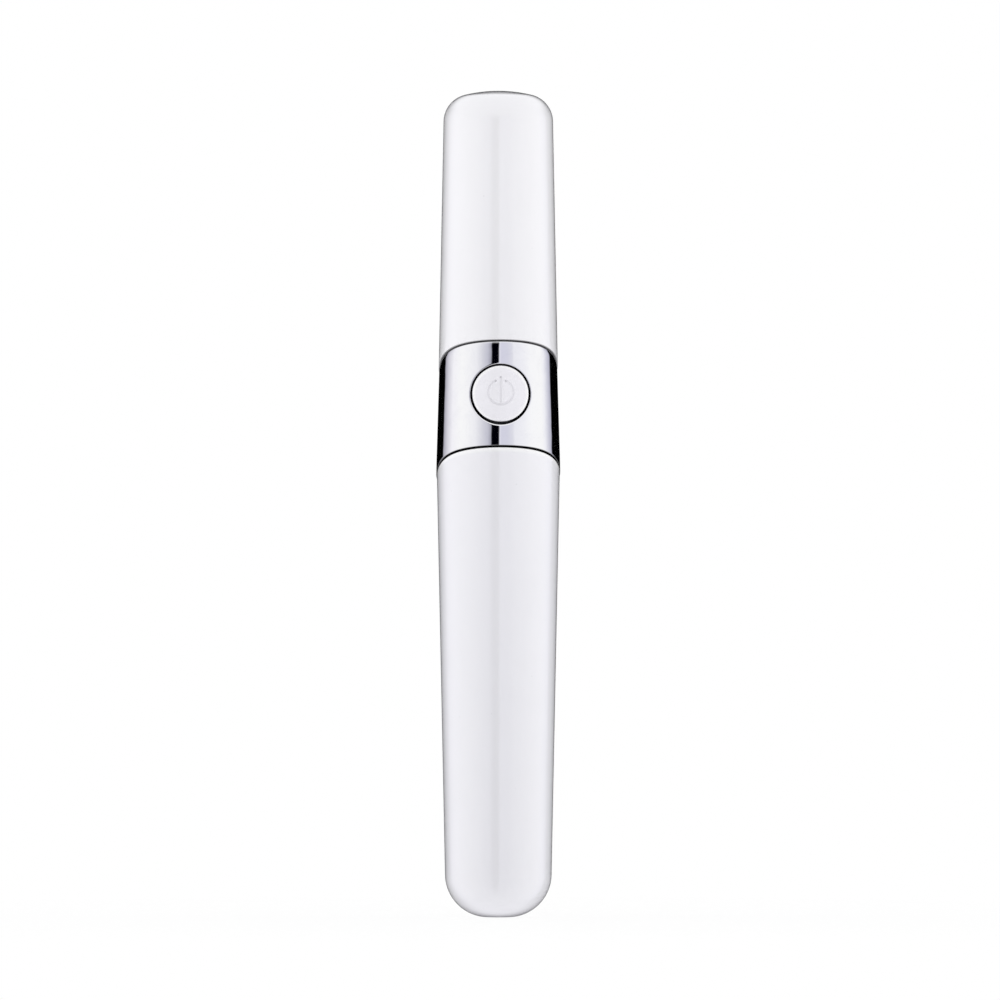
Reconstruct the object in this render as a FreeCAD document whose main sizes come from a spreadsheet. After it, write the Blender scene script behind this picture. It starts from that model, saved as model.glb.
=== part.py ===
import FreeCAD, Part
import math
import os
import re
import Sketcher

# A hand-held heated massaging wand for the skin round the eyes, with a rounded lower end.
# Millimetres, +Z up along the wand, the button at the front (-Y), the origin under its centre.
# From bottom to top: the battery sleeve pulls off downwards, the chrome ring with the button sits
# round the frame's collar, and the cap pulls off upwards from the head with its slanted warm tip.

Vector = FreeCAD.Vector
Rotation = FreeCAD.Rotation
Placement = FreeCAD.Placement

SIZES = {
    # Whole wand
    "wand_length": 145.0,
    # Seams: each is an S of two arcs seen from the side, high at the front and low at the back
    "seam_slant": 35.0,
    "seam_arc": 30.4,
    "lower_seam": 78.0,
    "upper_seam": 96.4,
    "sleeve_gap": 0.35,
    "cap_gap": 0.18,
    # Cap
    "cap_rim_r": 10.45,
    "cap_top_r": 9.54,
    "crown_arc": 25.0,
    "crown_round": 4.9,
    "cap_bore_r": 9.0,
    "cap_wall": 1.2,
    "cap_roof": 1.6,
    "dome_r": 5.9,
    "cap_rim_round": 0.15,
    # Battery sleeve
    "sleeve_base_r": 9.2,
    "sleeve_top_r": 10.78,
    "sleeve_round": 7.55,
    "sleeve_bore_r": 9.3,
    "sleeve_floor": 2.0,
    "cavity_r": 8.1,
    "cavity_round": 6.0,
    "ledge_r": 8.95,
    "ledge_gap": 0.2,
    "sleeve_rim_round": 0.4,
    # Chrome ring
    "ring_top_r": 10.2,
    "ring_bottom_r": 10.9,
    "ring_fit": 0.05,
    "ring_lip_r": 8.4,
    "ring_lip": 1.0,
    "ring_edge_round": 0.15,
    # Button
    "button_height": 91.7,
    "button_r": 4.92,
    "button_hole_r": 5.24,
    "button_proud": 0.15,
    "button_edge_round": 0.3,
    "button_wall": 1.0,
    "button_post_r": 1.3,
    "flange_r": 6.1,
    "flange_thick": 1.0,
    "flange_gap": 0.08,
    "window_gap": 0.4,
    "symbol_r": 2.15,
    "symbol_up": 0.3,
    "symbol_stroke": 0.4,
    "symbol_opening": 24.0,
    "symbol_bar_top": 2.9,
    "symbol_bar_bottom": 1.4,
    "symbol_depth": 0.15,
    # Inner frame
    "tray_bottom": 9.0,
    "tray_r": 7.7,
    "tray_floor": 1.5,
    "bay_gap": 0.25,
    "finger_notch": 16.0,
    "bulkhead": 4.4,
    "collar_r": 9.2,
    "collar_wall": 1.1,
    "web_thick": 1.2,
    "web_drop": 1.5,
    # Battery and its contacts
    "battery_r": 5.25,
    "battery_length": 44.5,
    "nub_r": 1.9,
    "nub_length": 0.8,
    "battery_round": 0.3,
    "contact_thick": 0.3,
    "contact_width": 4.0,
    "tab_rise": 2.5,
    "strip_width": 2.4,
    "strip_rise": 3.5,
    "contact_gap": 0.1,
    "spring_length": 5.0,
    "spring_r": 3.3,
    "spring_wire_r": 0.3,
    "spring_turns": 4.0,
    # Seals
    "seal_r": 0.5,
    "seal_fit": 0.05,
    "groove_width": 1.2,
    "sleeve_seal_up": 2.4,
    "neck_seal_up": 9.5,
    # Circuit board and what it carries
    "board_front": 3.0,
    "board_thick": 1.0,
    "board_width": 11.0,
    "board_lift": 1.0,
    "board_drop": 0.5,
    "board_screw_x": 3.8,
    "board_screw_up": 3.5,
    "screw_r": 0.7,
    "screw_length": 2.0,
    "screw_head_r": 1.3,
    "screw_head": 0.8,
    "screw_slot": 0.35,
    "screw_fit": 0.1,
    "screw_gap": 1.6,
    "switch_width": 6.0,
    "switch_depth": 2.0,
    "switch_cover": 0.2,
    "plunger_r": 1.0,
    "plunger_length": 1.8,
    "plunger_fit": 0.1,
    "plunger_room": 0.6,
    "plunger_gap": 0.05,
    "chip_aside": 2.0,
    "chip_width": 3.9,
    "chip_height": 4.9,
    "chip_thick": 1.4,
    "pin_length": 1.0,
    "pin_width": 0.4,
    "pin_pitch": 1.27,
    "coil_aside": 3.3,
    "coil_width": 4.0,
    "coil_base": 0.5,
    "coil_r": 1.8,
    "coil_height": 1.6,
    "capacitor_up": 7.5,
    "capacitor_pitch": 2.6,
    "capacitor_width": 1.6,
    "capacitor_thick": 0.8,
    # Head
    "neck_r": 8.85,
    "neck_length": 13.5,
    "neck_round": 1.2,
    "head_bore_r": 7.0,
    "head_top_r": 6.4,
    "head_plate": 1.5,
    "head_wall": 1.2,
    "spigot_r": 8.0,
    "spigot_down": 2.2,
    # Motor
    "motor_r": 3.0,
    "motor_length": 12.0,
    "motor_up": 3.9,
    "motor_out": 1.4,
    "end_cap": 1.0,
    "shaft_r": 0.4,
    "shaft_fit": 0.05,
    "shaft_sunk": 10.0,
    "weight_gap": 0.7,
    "weight_r": 2.5,
    "weight_length": 4.0,
    "weight_room": 0.7,
    "boot_wall": 1.05,
    "boot_length": 8.0,
    "boot_up": 1.0,
    "holder_r": 5.2,
    "holder_floor": 0.8,
    "holder_hole_r": 2.4,
    "rib_thick": 1.4,
    "rib_fit": 0.05,
    "rib_stop": 0.2,
    # Tip
    "tip_collar": 2.0,
    "tip_fit": 0.1,
    "tip_r": 6.2,
    "tip_height": 16.2,
    "tip_face_up": 4.2,
    "tip_slant": 49.0,
    "tip_face_round": 0.7,
    "tip_spigot_r": 4.5,
    "tip_bore_r": 3.5,
    "tip_floor": 1.7,
    "tip_face_wall": 1.2,
    "chamber_width": 7.2,
    "chamber_depth": 8.4,
    "heater_width": 6.4,
    "heater_length": 8.0,
    "heater_thick": 0.8,
    "bead_r": 0.7,
    "bead_along": 2.6,
    # Leads
    "lead_r": 0.35,
    "heater_lead_r": 0.3,
    "lead_hole_fit": 0.25,
    "terminal_aside": 1.2,
    "terminal_forward": 1.5,
    "terminal_drop": 1.5,
    "motor_pad_aside": 1.8,
    "motor_pad_rise": 1.4,
    "heater_pad_aside": 2.2,
    "heater_pad_down": 1.5,
    "tip_way_aside": 2.3,
    "tip_way_back": 1.2,
    "tip_way_up": 4.5,
    "plate_way_aside": 2.5,
    "plate_way_back": 1.85,
    "plate_way_down": 1.2,
    "holder_way_end": 1.0,
    "under_way_aside": 4.3,
    "under_way_back": 3.6,
    "board_way_aside": 4.4,
    "board_way_forward": 1.2,
    "board_way_rise": 2.2,
    "strip_pad_down": 1.0,
    "strip_way_in": 2.2,
    "web_way_back": 1.8,
}

# Sizes and places that follow from the ones above
PLACES = {
    "seam_reach": "ring_bottom_r + 1",
    "seam_rise": "sqrt(seam_arc^2 - (seam_arc * sin(seam_slant) - seam_reach)^2)"
                 " - seam_arc * cos(seam_slant)",
    "crown_edge": "wand_length - crown_arc + sqrt(crown_arc^2 - cap_top_r^2)",
    "cap_lean": "(cap_rim_r - cap_top_r) / (crown_edge - upper_seam)",
    "cap_low": "upper_seam - seam_rise",
    "sleeve_lean": "(sleeve_top_r - sleeve_base_r) / lower_seam",
    "sleeve_high": "lower_seam + seam_rise",
    "ring_bore_r": "collar_r + ring_fit",
    "ring_high": "upper_seam + seam_rise",
    "ring_low": "lower_seam - seam_rise",
    "ring_lean": "(ring_bottom_r - ring_top_r) / (ring_high - lower_seam)",
    "lip_bottom": "upper_seam - ring_lip",
    "button_out": "ring_bottom_r - ring_lean * (button_height - lower_seam) + button_proud",
    "symbol_middle": "button_height + symbol_up",
    "flange_front": "sqrt(ring_bore_r^2 - flange_r^2) - flange_gap",
    "flange_back": "flange_front - flange_thick",
    "bay_r": "battery_r + bay_gap",
    "bay_floor": "tray_bottom + tray_floor",
    "spring_bottom": "bay_floor + contact_thick",
    "battery_bottom": "spring_bottom + spring_length",
    "battery_top": "battery_bottom + battery_length",
    "bay_top": "battery_top + contact_thick",
    "deck": "bay_top + bulkhead",
    "collar_bore_r": "collar_r - collar_wall",
    "strip_out": "tray_r - contact_gap - contact_gap",
    "strip_in": "strip_out - contact_thick",
    "strip_slot": "strip_width / 2 + contact_gap",
    "strip_top": "deck + strip_rise",
    "tab_slot": "contact_width / 2 + contact_gap",
    "sleeve_seal_height": "bay_top + sleeve_seal_up",
    "sleeve_seal_r": "sleeve_bore_r - seal_fit - seal_r",
    "neck_seal_height": "upper_seam + neck_seal_up",
    "neck_seal_r": "cap_bore_r - seal_fit - seal_r",
    "board_back": "board_front - board_thick",
    "board_bottom": "deck + board_lift",
    "board_top": "upper_seam - board_drop",
    "web_back": "board_back - web_thick",
    "web_top": "board_top - web_drop",
    "web_reach": "collar_r - collar_wall / 2",
    "low_screw": "board_bottom + board_screw_up",
    "high_screw": "button_height - switch_width / 2 - screw_head_r - screw_gap",
    "capacitor_height": "board_bottom + capacitor_up",
    "chip_middle": "(capacitor_height + capacitor_thick / 2 + high_screw - screw_head_r) / 2",
    "cover_front": "board_front + switch_depth + switch_cover",
    "plunger_front": "flange_back - plunger_gap",
    "neck_top": "upper_seam + neck_length",
    "motor_bottom": "upper_seam + motor_up",
    "motor_can_bottom": "motor_bottom + end_cap",
    "motor_top": "motor_can_bottom + motor_length",
    "weight_bottom": "motor_top + weight_gap",
    "weight_top": "weight_bottom + weight_length",
    "head_plate_bottom": "weight_top + weight_room",
    "head_top": "head_plate_bottom + head_plate",
    "holder_bottom": "motor_bottom - holder_floor",
    "holder_top": "motor_top - motor_out",
    "lead_track": "(holder_r + head_bore_r) / 2",
    "tip_base": "head_top + tip_collar",
    "tip_top": "tip_base + tip_height",
    "tip_face_low": "tip_base + tip_face_up",
    "tip_rise": "tan(tip_slant)",
    "roof_middle": "tip_face_low + tip_r * tip_rise - tip_face_wall / cos(tip_slant)",
}

doc = FreeCAD.newDocument("eye_massager_wand")
sheet = doc.addObject("Spreadsheet::Sheet", "sizes")
for row, (alias, number) in enumerate(SIZES.items(), start=1):
    sheet.set("A%d" % row, alias)
    sheet.set("B%d" % row, str(number))
    sheet.setAlias("B%d" % row, alias)
doc.recompute()


def bound(text):
    """The expression with each place written out and each size tied to its cell."""

    def written_out(match):
        word = match.group(0)
        if word in PLACES:
            return "(" + bound(PLACES[word]) + ")"
        if word in SIZES:
            return "sizes." + word
        return word

    return re.sub(r"[a-z][a-z_]*", written_out, text)


def value(text):
    return float(sheet.evalExpression(bound(text)))


def point(across, back, up):
    return Vector(value(across), value(back), value(up))


# Sketches and features -------------------------------------------------------------------------

def new_body(name):
    return doc.addObject("PartDesign::Body", name)


def new_sketch(body, name, plane, lift):
    """An empty sketch on one of the body's planes: XY looks down on the wand and is lifted up,
    XZ looks from the front and is lifted forward, YZ is the side view with the front at the left."""
    sketch = body.newObject("Sketcher::SketchObject", name)
    base = [part for part in body.Origin.OriginFeatures if part.Role == plane + "_Plane"][0]
    sketch.AttachmentSupport = [(base, "")]
    sketch.MapMode = "FlatFace"
    sketch.setExpression("AttachmentOffset.Base.z", bound(lift))
    return sketch


def hold(sketch, kind, side, end, text):
    """Ties one coordinate of a point, or a radius, to its expression."""
    place = (side, end) if end else (side,)
    number = sketch.addConstraint(Sketcher.Constraint(kind, *place, value(text)))
    sketch.setExpression("Constraints[%d]" % number, bound(text))


def bend(start, end, radius):
    """The short arc between two points: it turns left where the radius is positive."""
    chord = end - start
    left = Vector(-chord.y, chord.x, 0).normalize()
    height = math.sqrt(radius ** 2 - (chord.Length / 2) ** 2)
    centre = (start + end) / 2 + left * math.copysign(height, radius)
    first, last = (start, end) if radius > 0 else (end, start)
    angles = [math.atan2(spot.y - centre.y, spot.x - centre.x) for spot in (first, last)]
    circle = Part.Circle(centre, Vector(0, 0, 1), abs(radius))
    return Part.ArcOfCircle(circle, angles[0], angles[1])


def add_loop(sketch, corners):
    """Adds a closed outline. Each corner is (across, up); a third entry bends the side that leads
    to that corner, and is its radius, negative where it turns right."""
    first_side = sketch.GeometryCount
    spots = [Vector(value(corner[0]), value(corner[1]), 0) for corner in corners]
    ends = []
    for index, corner in enumerate(corners):
        if len(corner) == 2:
            sketch.addGeometry(Part.LineSegment(spots[index - 1], spots[index]), False)
            ends.append((1, 2))
        else:
            radius = value(corner[2])
            sketch.addGeometry(bend(spots[index - 1], spots[index], radius), False)
            ends.append((1, 2) if radius > 0 else (2, 1))
    for index, corner in enumerate(corners):
        after = (index + 1) % len(corners)
        side = first_side + index
        joint = Sketcher.Constraint("Coincident", side, ends[index][1], first_side + after, ends[after][0])
        sketch.addConstraint(joint)
        hold(sketch, "DistanceX", side, ends[index][1], corner[0])
        hold(sketch, "DistanceY", side, ends[index][1], corner[1])
        if len(corner) == 3:
            hold(sketch, "Radius", side, None, corner[2].lstrip("-"))


def add_circle(sketch, radius, across="0", up="0"):
    circle = Part.Circle(Vector(value(across), value(up), 0), Vector(0, 0, 1), value(radius))
    side = sketch.addGeometry(circle, False)
    hold(sketch, "DistanceX", side, 3, across)
    hold(sketch, "DistanceY", side, 3, up)
    hold(sketch, "Radius", side, None, radius)


def outline(body, name, plane, corners, lift="0"):
    sketch = new_sketch(body, name, plane, lift)
    add_loop(sketch, corners)
    return sketch


def box_corners(low_across, high_across, low_up, high_up):
    return [(low_across, low_up), (high_across, low_up), (high_across, high_up), (low_across, high_up)]


def turn_up(body, name, corners):
    """Turns a half section, given as (radius, height) corners, round the wand's axis."""
    profile = outline(body, name + "_section", "XZ", corners)
    solid = body.newObject("PartDesign::Revolution", name)
    solid.Profile = profile
    solid.ReferenceAxis = (profile, ["V_Axis"])
    return solid


def pad(body, name, profile, length, both_ways=False):
    solid = body.newObject("PartDesign::Pad", name)
    solid.Profile = profile
    solid.setExpression("Length", bound(length))
    if both_ways:
        solid.SideType = "Symmetric"
    return solid


def pocket(body, name, profile, length=None, along=False, both_ways=False):
    """Cuts against the sketch's own direction, or along it, or both ways. No length cuts through."""
    cut = body.newObject("PartDesign::Pocket", name)
    cut.Profile = profile
    if length is None:
        cut.Type = "ThroughAll"
    else:
        cut.setExpression("Length", bound(length))
    cut.Reversed = along
    if both_ways:
        cut.SideType = "Symmetric"
    return cut


def soften(body, name, kind, size, wanted):
    """Rounds or bevels the edges of the body's last feature that the test picks."""
    doc.recompute()
    last = body.Tip
    names = ["Edge%d" % (index + 1) for index, edge in enumerate(last.Shape.Edges) if wanted(edge)]
    feature = body.newObject("PartDesign::" + kind, name)
    feature.Base = (last, names)
    feature.setExpression("Radius" if kind == "Fillet" else "Size", bound(size))
    return feature


def edge_spots(edge):
    first, last = edge.ParameterRange
    return [edge.valueAt(first + (last - first) * share) for share in (0.02, 0.3, 0.5, 0.7, 0.98)]


def edge_at(radius, height):
    """Picks level edges round the axis."""
    return lambda edge: all(
        abs(math.hypot(spot.x, spot.y) - value(radius)) < 0.02 and abs(spot.z - value(height)) < 0.02
        for spot in edge_spots(edge))


# The slanted seams -------------------------------------------------------------------------------

def cut_on_seam(body, name, height, keep):
    """Cuts the body on the seam's S, which crosses the axis at this height, and keeps one side."""
    far = height + (" + wand_length" if keep == "below" else " - wand_length")
    shape = [
        ("seam_reach", far),
        ("-seam_reach", far),
        ("-seam_reach", height + " + seam_rise"),
        ("0", height, "-seam_arc"),
        ("seam_reach", height + " - seam_rise", "seam_arc"),
    ]
    return pocket(body, name, outline(body, name + "_line", "YZ", shape), both_ways=True)


def on_seam(height, least_radius):
    """Picks the edges that lie on a seam and outside a radius."""
    arc = value("seam_arc")
    slant = math.radians(value("seam_slant"))

    def level(back):
        rise = math.sqrt(arc ** 2 - (arc * math.sin(slant) - abs(back)) ** 2) - arc * math.cos(slant)
        return value(height) + (rise if back < 0 else -rise)

    return lambda edge: all(
        math.hypot(spot.x, spot.y) > value(least_radius) and abs(spot.z - level(spot.y)) < 0.01
        for spot in edge_spots(edge))


# Simple solids -----------------------------------------------------------------------------------

def set_place(piece, corner, turn=None):
    """Places a solid: corner is (across, back, up)."""
    if turn:
        piece.Placement = Placement(Vector(0, 0, 0), turn)
    for letter, text in zip("xyz", corner):
        piece.setExpression("Placement.Base." + letter, bound(text))
    return piece


def cylinder(name, radius, length, foot, forward=False):
    """A cylinder that rises from its foot, or runs forward from it."""
    piece = doc.addObject("Part::Cylinder", name)
    piece.setExpression("Radius", bound(radius))
    piece.setExpression("Height", bound(length))
    return set_place(piece, foot, Rotation(Vector(1, 0, 0), 90) if forward else None)


def block(name, width, depth, height, middle):
    """A box, placed by its middle."""
    piece = doc.addObject("Part::Box", name)
    for side, text in zip(("Length", "Width", "Height"), (width, depth, height)):
        piece.setExpression(side, bound(text))
    corner = ["%s - (%s) / 2" % pair for pair in zip(middle, (width, depth, height))]
    return set_place(piece, corner)


def cut_away(name, base, tool):
    piece = doc.addObject("Part::Cut", name)
    piece.Base = base
    piece.Tool = tool
    return piece


def join(name, pieces):
    piece = doc.addObject("Part::MultiFuse", name)
    piece.Shapes = pieces
    return piece


def group(name, pieces):
    piece = doc.addObject("Part::Compound", name)
    piece.Links = pieces
    return piece


def lead_shape(radius, route):
    """An insulated lead: straight runs joined by arcs as large as the shorter run allows."""
    edges = []
    start = route[0]
    for before, corner, after in zip(route, route[1:], route[2:]):
        come = (corner - before).normalize()
        leave = (after - corner).normalize()
        setback = 0.45 * min((corner - before).Length, (after - corner).Length)
        inward = (leave - come).normalize()
        half_turn = come.getAngle(leave) / 2
        bow = setback / math.tan(half_turn) * (1 / math.cos(half_turn) - 1)
        into = corner - come * setback
        out = corner + leave * setback
        middle = corner + inward * bow
        edges.append(Part.LineSegment(start, into).toShape())
        edges.append(Part.Arc(into, middle, out).toShape())
        start = out
    edges.append(Part.LineSegment(start, route[-1]).toShape())
    path = Part.Wire(edges)
    section = Part.Wire(Part.Circle(route[0], route[1] - route[0], radius).toShape())
    solid = path.makePipeShell([section], True, True)
    assert abs(solid.Volume / (math.pi * radius ** 2 * path.Length) - 1) < 0.01
    return solid


def lead(name, shapes):
    piece = doc.addObject("Part::Feature", name)
    piece.Shape = shapes[0] if len(shapes) == 1 else Part.makeCompound(shapes)
    piece.Placement = Placement()
    return piece


# Cap: a white shell with a domed top that slides over the head's neck ------------------------------

def make_cap():
    body = new_body("cap")
    turn_up(body, "cap_outside", [
        ("0", "cap_low"),
        ("cap_rim_r + cap_lean * seam_rise", "cap_low"),
        ("cap_top_r", "crown_edge"),
        ("0", "wand_length", "crown_arc"),
    ])
    soften(body, "cap_crown_round", "Fillet", "crown_round", edge_at("cap_top_r", "crown_edge"))
    inside = outline(body, "cap_hollow_section", "XZ", [
        ("0", "cap_low - 1"),
        ("cap_bore_r", "cap_low - 1"),
        ("cap_bore_r", "neck_top"),
        ("cap_top_r - cap_wall", "crown_edge - crown_round"),
        ("dome_r", "wand_length - crown_arc + sqrt((crown_arc - cap_roof)^2 - dome_r^2)", "crown_round"),
        ("0", "wand_length - cap_roof", "crown_arc - cap_roof"),
    ])
    hollow = body.newObject("PartDesign::Groove", "cap_hollow")
    hollow.Profile = inside
    hollow.ReferenceAxis = (inside, ["V_Axis"])
    cut_on_seam(body, "cap_rim", "upper_seam + cap_gap", "above")
    rim = on_seam("upper_seam + cap_gap", "(cap_bore_r + cap_rim_r) / 2")
    soften(body, "cap_rim_edge", "Fillet", "cap_rim_round", rim)
    return body


# Battery sleeve: the tapered white housing with a round end, whose ledge stops under the bulkhead ---

def make_battery_sleeve():
    body = new_body("battery_sleeve")
    turn_up(body, "sleeve_wall", [
        ("0", "0"),
        ("sleeve_base_r", "0"),
        ("sleeve_base_r + sleeve_lean * sleeve_high", "sleeve_high"),
        ("sleeve_bore_r", "sleeve_high"),
        ("sleeve_bore_r", "bay_top - ledge_gap"),
        ("ledge_r", "bay_top - ledge_gap"),
        ("cavity_r", "sleeve_floor + cavity_round"),
        ("cavity_r - cavity_round", "sleeve_floor", "-cavity_round"),
        ("0", "sleeve_floor"),
    ])
    soften(body, "sleeve_end_round", "Fillet", "sleeve_round", edge_at("sleeve_base_r", "0"))
    cut_on_seam(body, "sleeve_rim", "lower_seam - sleeve_gap", "below")
    rim = on_seam("lower_seam - sleeve_gap", "(sleeve_bore_r + sleeve_top_r) / 2")
    soften(body, "sleeve_rim_edge", "Fillet", "sleeve_rim_round", rim)
    return body


# Chrome ring: its inward lip follows the upper seam and is clamped under the head's shoulder --------

def make_trim_ring():
    body = new_body("trim_ring")
    outer = "(ring_bore_r + ring_top_r) / 2"
    turn_up(body, "ring_lip_blank", [
        ("ring_lip_r", "ring_low"),
        (outer, "ring_low"),
        (outer, "ring_high"),
        ("ring_lip_r", "ring_high"),
    ])
    cut_on_seam(body, "ring_lip_underside", "lip_bottom", "above")
    turn_up(body, "ring_band", [
        ("ring_bore_r", "ring_low"),
        ("ring_bottom_r", "ring_low"),
        ("ring_bottom_r", "lower_seam"),
        ("ring_top_r", "ring_high"),
        ("ring_bore_r", "ring_high"),
    ])
    cut_on_seam(body, "ring_top", "upper_seam", "below")
    cut_on_seam(body, "ring_bottom", "lower_seam", "above")
    hole = new_sketch(body, "ring_hole_circle", "XZ", "board_front")
    add_circle(hole, "button_hole_r", "0", "button_height")
    pocket(body, "ring_hole", hole, "seam_reach", along=True)
    rims = [on_seam("upper_seam", outer), on_seam("lower_seam", outer)]
    soften(body, "ring_edges", "Fillet", "ring_edge_round", lambda edge: any(pick(edge) for pick in rims))

    def round_the_hole(edge):
        reach = [math.hypot(spot.x, spot.z - value("button_height")) for spot in edge_spots(edge)]
        outside = all(math.hypot(spot.x, spot.y) > value(outer) for spot in edge_spots(edge))
        return outside and all(abs(far - value("button_hole_r")) < 0.01 for far in reach)

    soften(body, "ring_hole_edge", "Fillet", "ring_edge_round", round_the_hole)
    return body


# Power button: a cap with a flange behind the ring, a face curved like the ring, and a post ---------

def trim_to_curve(body, name, radius):
    """Takes away all that lies outside a radius from the wand's axis."""
    sketch = new_sketch(body, name + "_plan", "XY", "button_height")
    add_loop(sketch, box_corners("-seam_reach", "seam_reach", "-seam_reach * 2", "seam_reach"))
    add_circle(sketch, radius)
    return pocket(body, name, sketch, "flange_r * 4", both_ways=True)


def make_power_button():
    body = new_body("power_button")
    barrel = new_sketch(body, "button_circle", "XZ", "flange_back")
    add_circle(barrel, "button_r", "0", "button_height")
    pad(body, "button_barrel", barrel, "seam_reach - flange_back")
    trim_to_curve(body, "button_symbol_floor", "button_out - symbol_depth")

    # The outermost skin is added round an open circle and a bar, which leaves the power symbol sunk
    skin = new_sketch(body, "button_symbol", "XZ", "flange_front + button_wall")
    add_circle(skin, "button_r", "0", "button_height")
    outer = "(symbol_r + symbol_stroke / 2)"
    inner = "(symbol_r - symbol_stroke / 2)"

    def open_circle(radius):
        aside = radius + " * sin(symbol_opening)"
        above = radius + " * cos(symbol_opening) + symbol_middle"
        return [
            ("-" + aside, above),
            ("-" + radius, "symbol_middle"),
            ("0", "symbol_middle - " + radius),
            (radius, "symbol_middle"),
            (aside, above),
        ]

    way_round = open_circle(outer)
    way_back = open_circle(inner)[::-1]
    add_loop(skin, way_round[:1] + [spot + (outer,) for spot in way_round[1:]]
             + way_back[:1] + [spot + ("-" + inner,) for spot in way_back[1:]])
    bar_low = "button_height - symbol_bar_bottom"
    bar_high = "button_height + symbol_bar_top"
    add_loop(skin, box_corners("-symbol_stroke / 2", "symbol_stroke / 2", bar_low, bar_high))
    pad(body, "button_skin", skin, "seam_reach - flange_front")
    trim_to_curve(body, "button_face", "button_out")

    def face_rim(edge):
        reach = [math.hypot(spot.x, spot.z - value("button_height")) for spot in edge_spots(edge)]
        depth = [math.hypot(spot.x, spot.y) for spot in edge_spots(edge)]
        return (all(abs(far - value("button_r")) < 0.01 for far in reach)
                and all(abs(far - value("button_out")) < 0.01 for far in depth))

    soften(body, "button_face_edge", "Fillet", "button_edge_round", face_rim)
    flange = new_sketch(body, "button_flange_circle", "XZ", "flange_back")
    add_circle(flange, "flange_r", "0", "button_height")
    pad(body, "button_flange", flange, "flange_thick")
    hollow = new_sketch(body, "button_hollow_rings", "XZ", "flange_back")
    add_circle(hollow, "button_r - button_wall", "0", "button_height")
    add_circle(hollow, "button_post_r", "0", "button_height")
    pocket(body, "button_hollow", hollow, "sqrt(button_out^2 - button_r^2) - button_wall - flange_back",
           along=True)
    return body


# Inner frame: battery tray, bulkhead, collar inside the ring, and the web that holds the board ------

def make_inner_frame():
    body = new_body("inner_frame")
    groove_low = "sleeve_seal_height - groove_width / 2"
    groove_high = "sleeve_seal_height + groove_width / 2"
    turn_up(body, "frame_trunk", [
        ("0", "tray_bottom"),
        ("tray_r", "tray_bottom"),
        ("tray_r", "bay_top"),
        ("collar_r", "bay_top"),
        ("collar_r", groove_low),
        ("sleeve_seal_r - seal_r", groove_low),
        ("sleeve_seal_r - seal_r", groove_high),
        ("collar_r", groove_high),
        ("collar_r", "ring_high"),
        ("collar_bore_r", "ring_high"),
        ("collar_bore_r", "deck"),
        ("0", "deck"),
    ])
    bay = outline(body, "bay_plan", "XY", [
        ("-bay_r", "-collar_r"),
        ("bay_r", "-collar_r"),
        ("bay_r", "0"),
        ("0", "bay_r", "bay_r"),
        ("-bay_r", "0", "bay_r"),
    ], "bay_floor")
    pocket(body, "battery_bay", bay, "bay_top - bay_floor", along=True)
    notch_low = "(bay_floor + bay_top - finger_notch) / 2"
    notch_high = "(bay_floor + bay_top + finger_notch) / 2"
    notch = outline(body, "notch_side", "YZ", box_corners("-collar_r", "0", notch_low, notch_high))
    pocket(body, "finger_notches", notch, both_ways=True)

    # The way of the return strip: up the back of the tray and through the bulkhead
    strip_way = box_corners("-strip_slot", "strip_slot", "strip_in - contact_gap", "tray_r")
    groove = outline(body, "strip_plan", "XY", strip_way, "bay_floor")
    pocket(body, "strip_groove", groove, "deck - bay_floor", along=True)
    foot = outline(body, "strip_foot_plan", "XY",
                   box_corners("-strip_slot", "strip_slot", "0", "tray_r"), "bay_floor")
    pocket(body, "strip_foot_slot", foot, "contact_thick + contact_gap", along=True)

    web = outline(body, "web_front", "XZ",
                  box_corners("-web_reach", "web_reach", "deck", "web_top"), "web_back")
    pad(body, "board_web", web, "web_thick")
    slot = outline(body, "tab_plan", "XY",
                   box_corners("-tab_slot", "tab_slot", "-board_front - contact_thick - contact_gap",
                               "-board_front + contact_gap"), "deck")
    pocket(body, "tab_slot", slot, "bulkhead")
    holes = new_sketch(body, "web_holes_front", "XZ", "board_back")
    add_circle(holes, "screw_r", "-board_screw_x", "low_screw")
    add_circle(holes, "screw_r", "board_screw_x", "high_screw")
    add_circle(holes, "lead_r + lead_hole_fit", "0", "capacitor_height")
    pocket(body, "web_holes", holes, "web_thick")
    window = new_sketch(body, "window_circle", "XZ", "board_front")
    add_circle(window, "flange_r + window_gap", "0", "button_height")
    pocket(body, "button_window", window, "collar_r", along=True)
    cut_on_seam(body, "collar_top", "lip_bottom - ring_fit", "below")
    return body


# Seals: round rubber rings in the grooves of the bulkhead and the neck -------------------------------

def make_seal(name, ring_radius, height):
    seal = doc.addObject("Part::Torus", name)
    seal.setExpression("Radius1", bound(ring_radius))
    seal.setExpression("Radius2", bound("seal_r"))
    return set_place(seal, ("0", "0", height))


# Battery: one round cell between the sprung plate and the upper contact ------------------------------

def make_battery_cell():
    body = new_body("battery_cell")
    shoulder = "battery_top - nub_length"
    turn_up(body, "battery_can", [
        ("0", "battery_bottom"),
        ("battery_r - battery_round", "battery_bottom"),
        ("battery_r", "battery_bottom + battery_round", "battery_round"),
        ("battery_r", shoulder + " - battery_round"),
        ("battery_r - battery_round", shoulder, "battery_round"),
        ("nub_r", shoulder),
        ("nub_r", "battery_top"),
        ("0", "battery_top"),
    ])
    return body


def make_battery_spring():
    body = new_body("battery_spring")
    wire = new_sketch(body, "spring_wire", "XZ", "0")
    add_circle(wire, "spring_wire_r", "spring_r", "spring_bottom + spring_wire_r")
    coil = body.newObject("PartDesign::AdditiveHelix", "spring_coil")
    coil.Profile = wire
    coil.ReferenceAxis = (wire, ["V_Axis"])
    coil.Mode = "pitch-height-angle"
    coil.setExpression("Height", bound("spring_length - 2 * spring_wire_r"))
    coil.setExpression("Pitch", bound("(spring_length - 2 * spring_wire_r) / spring_turns"))
    return body


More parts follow.
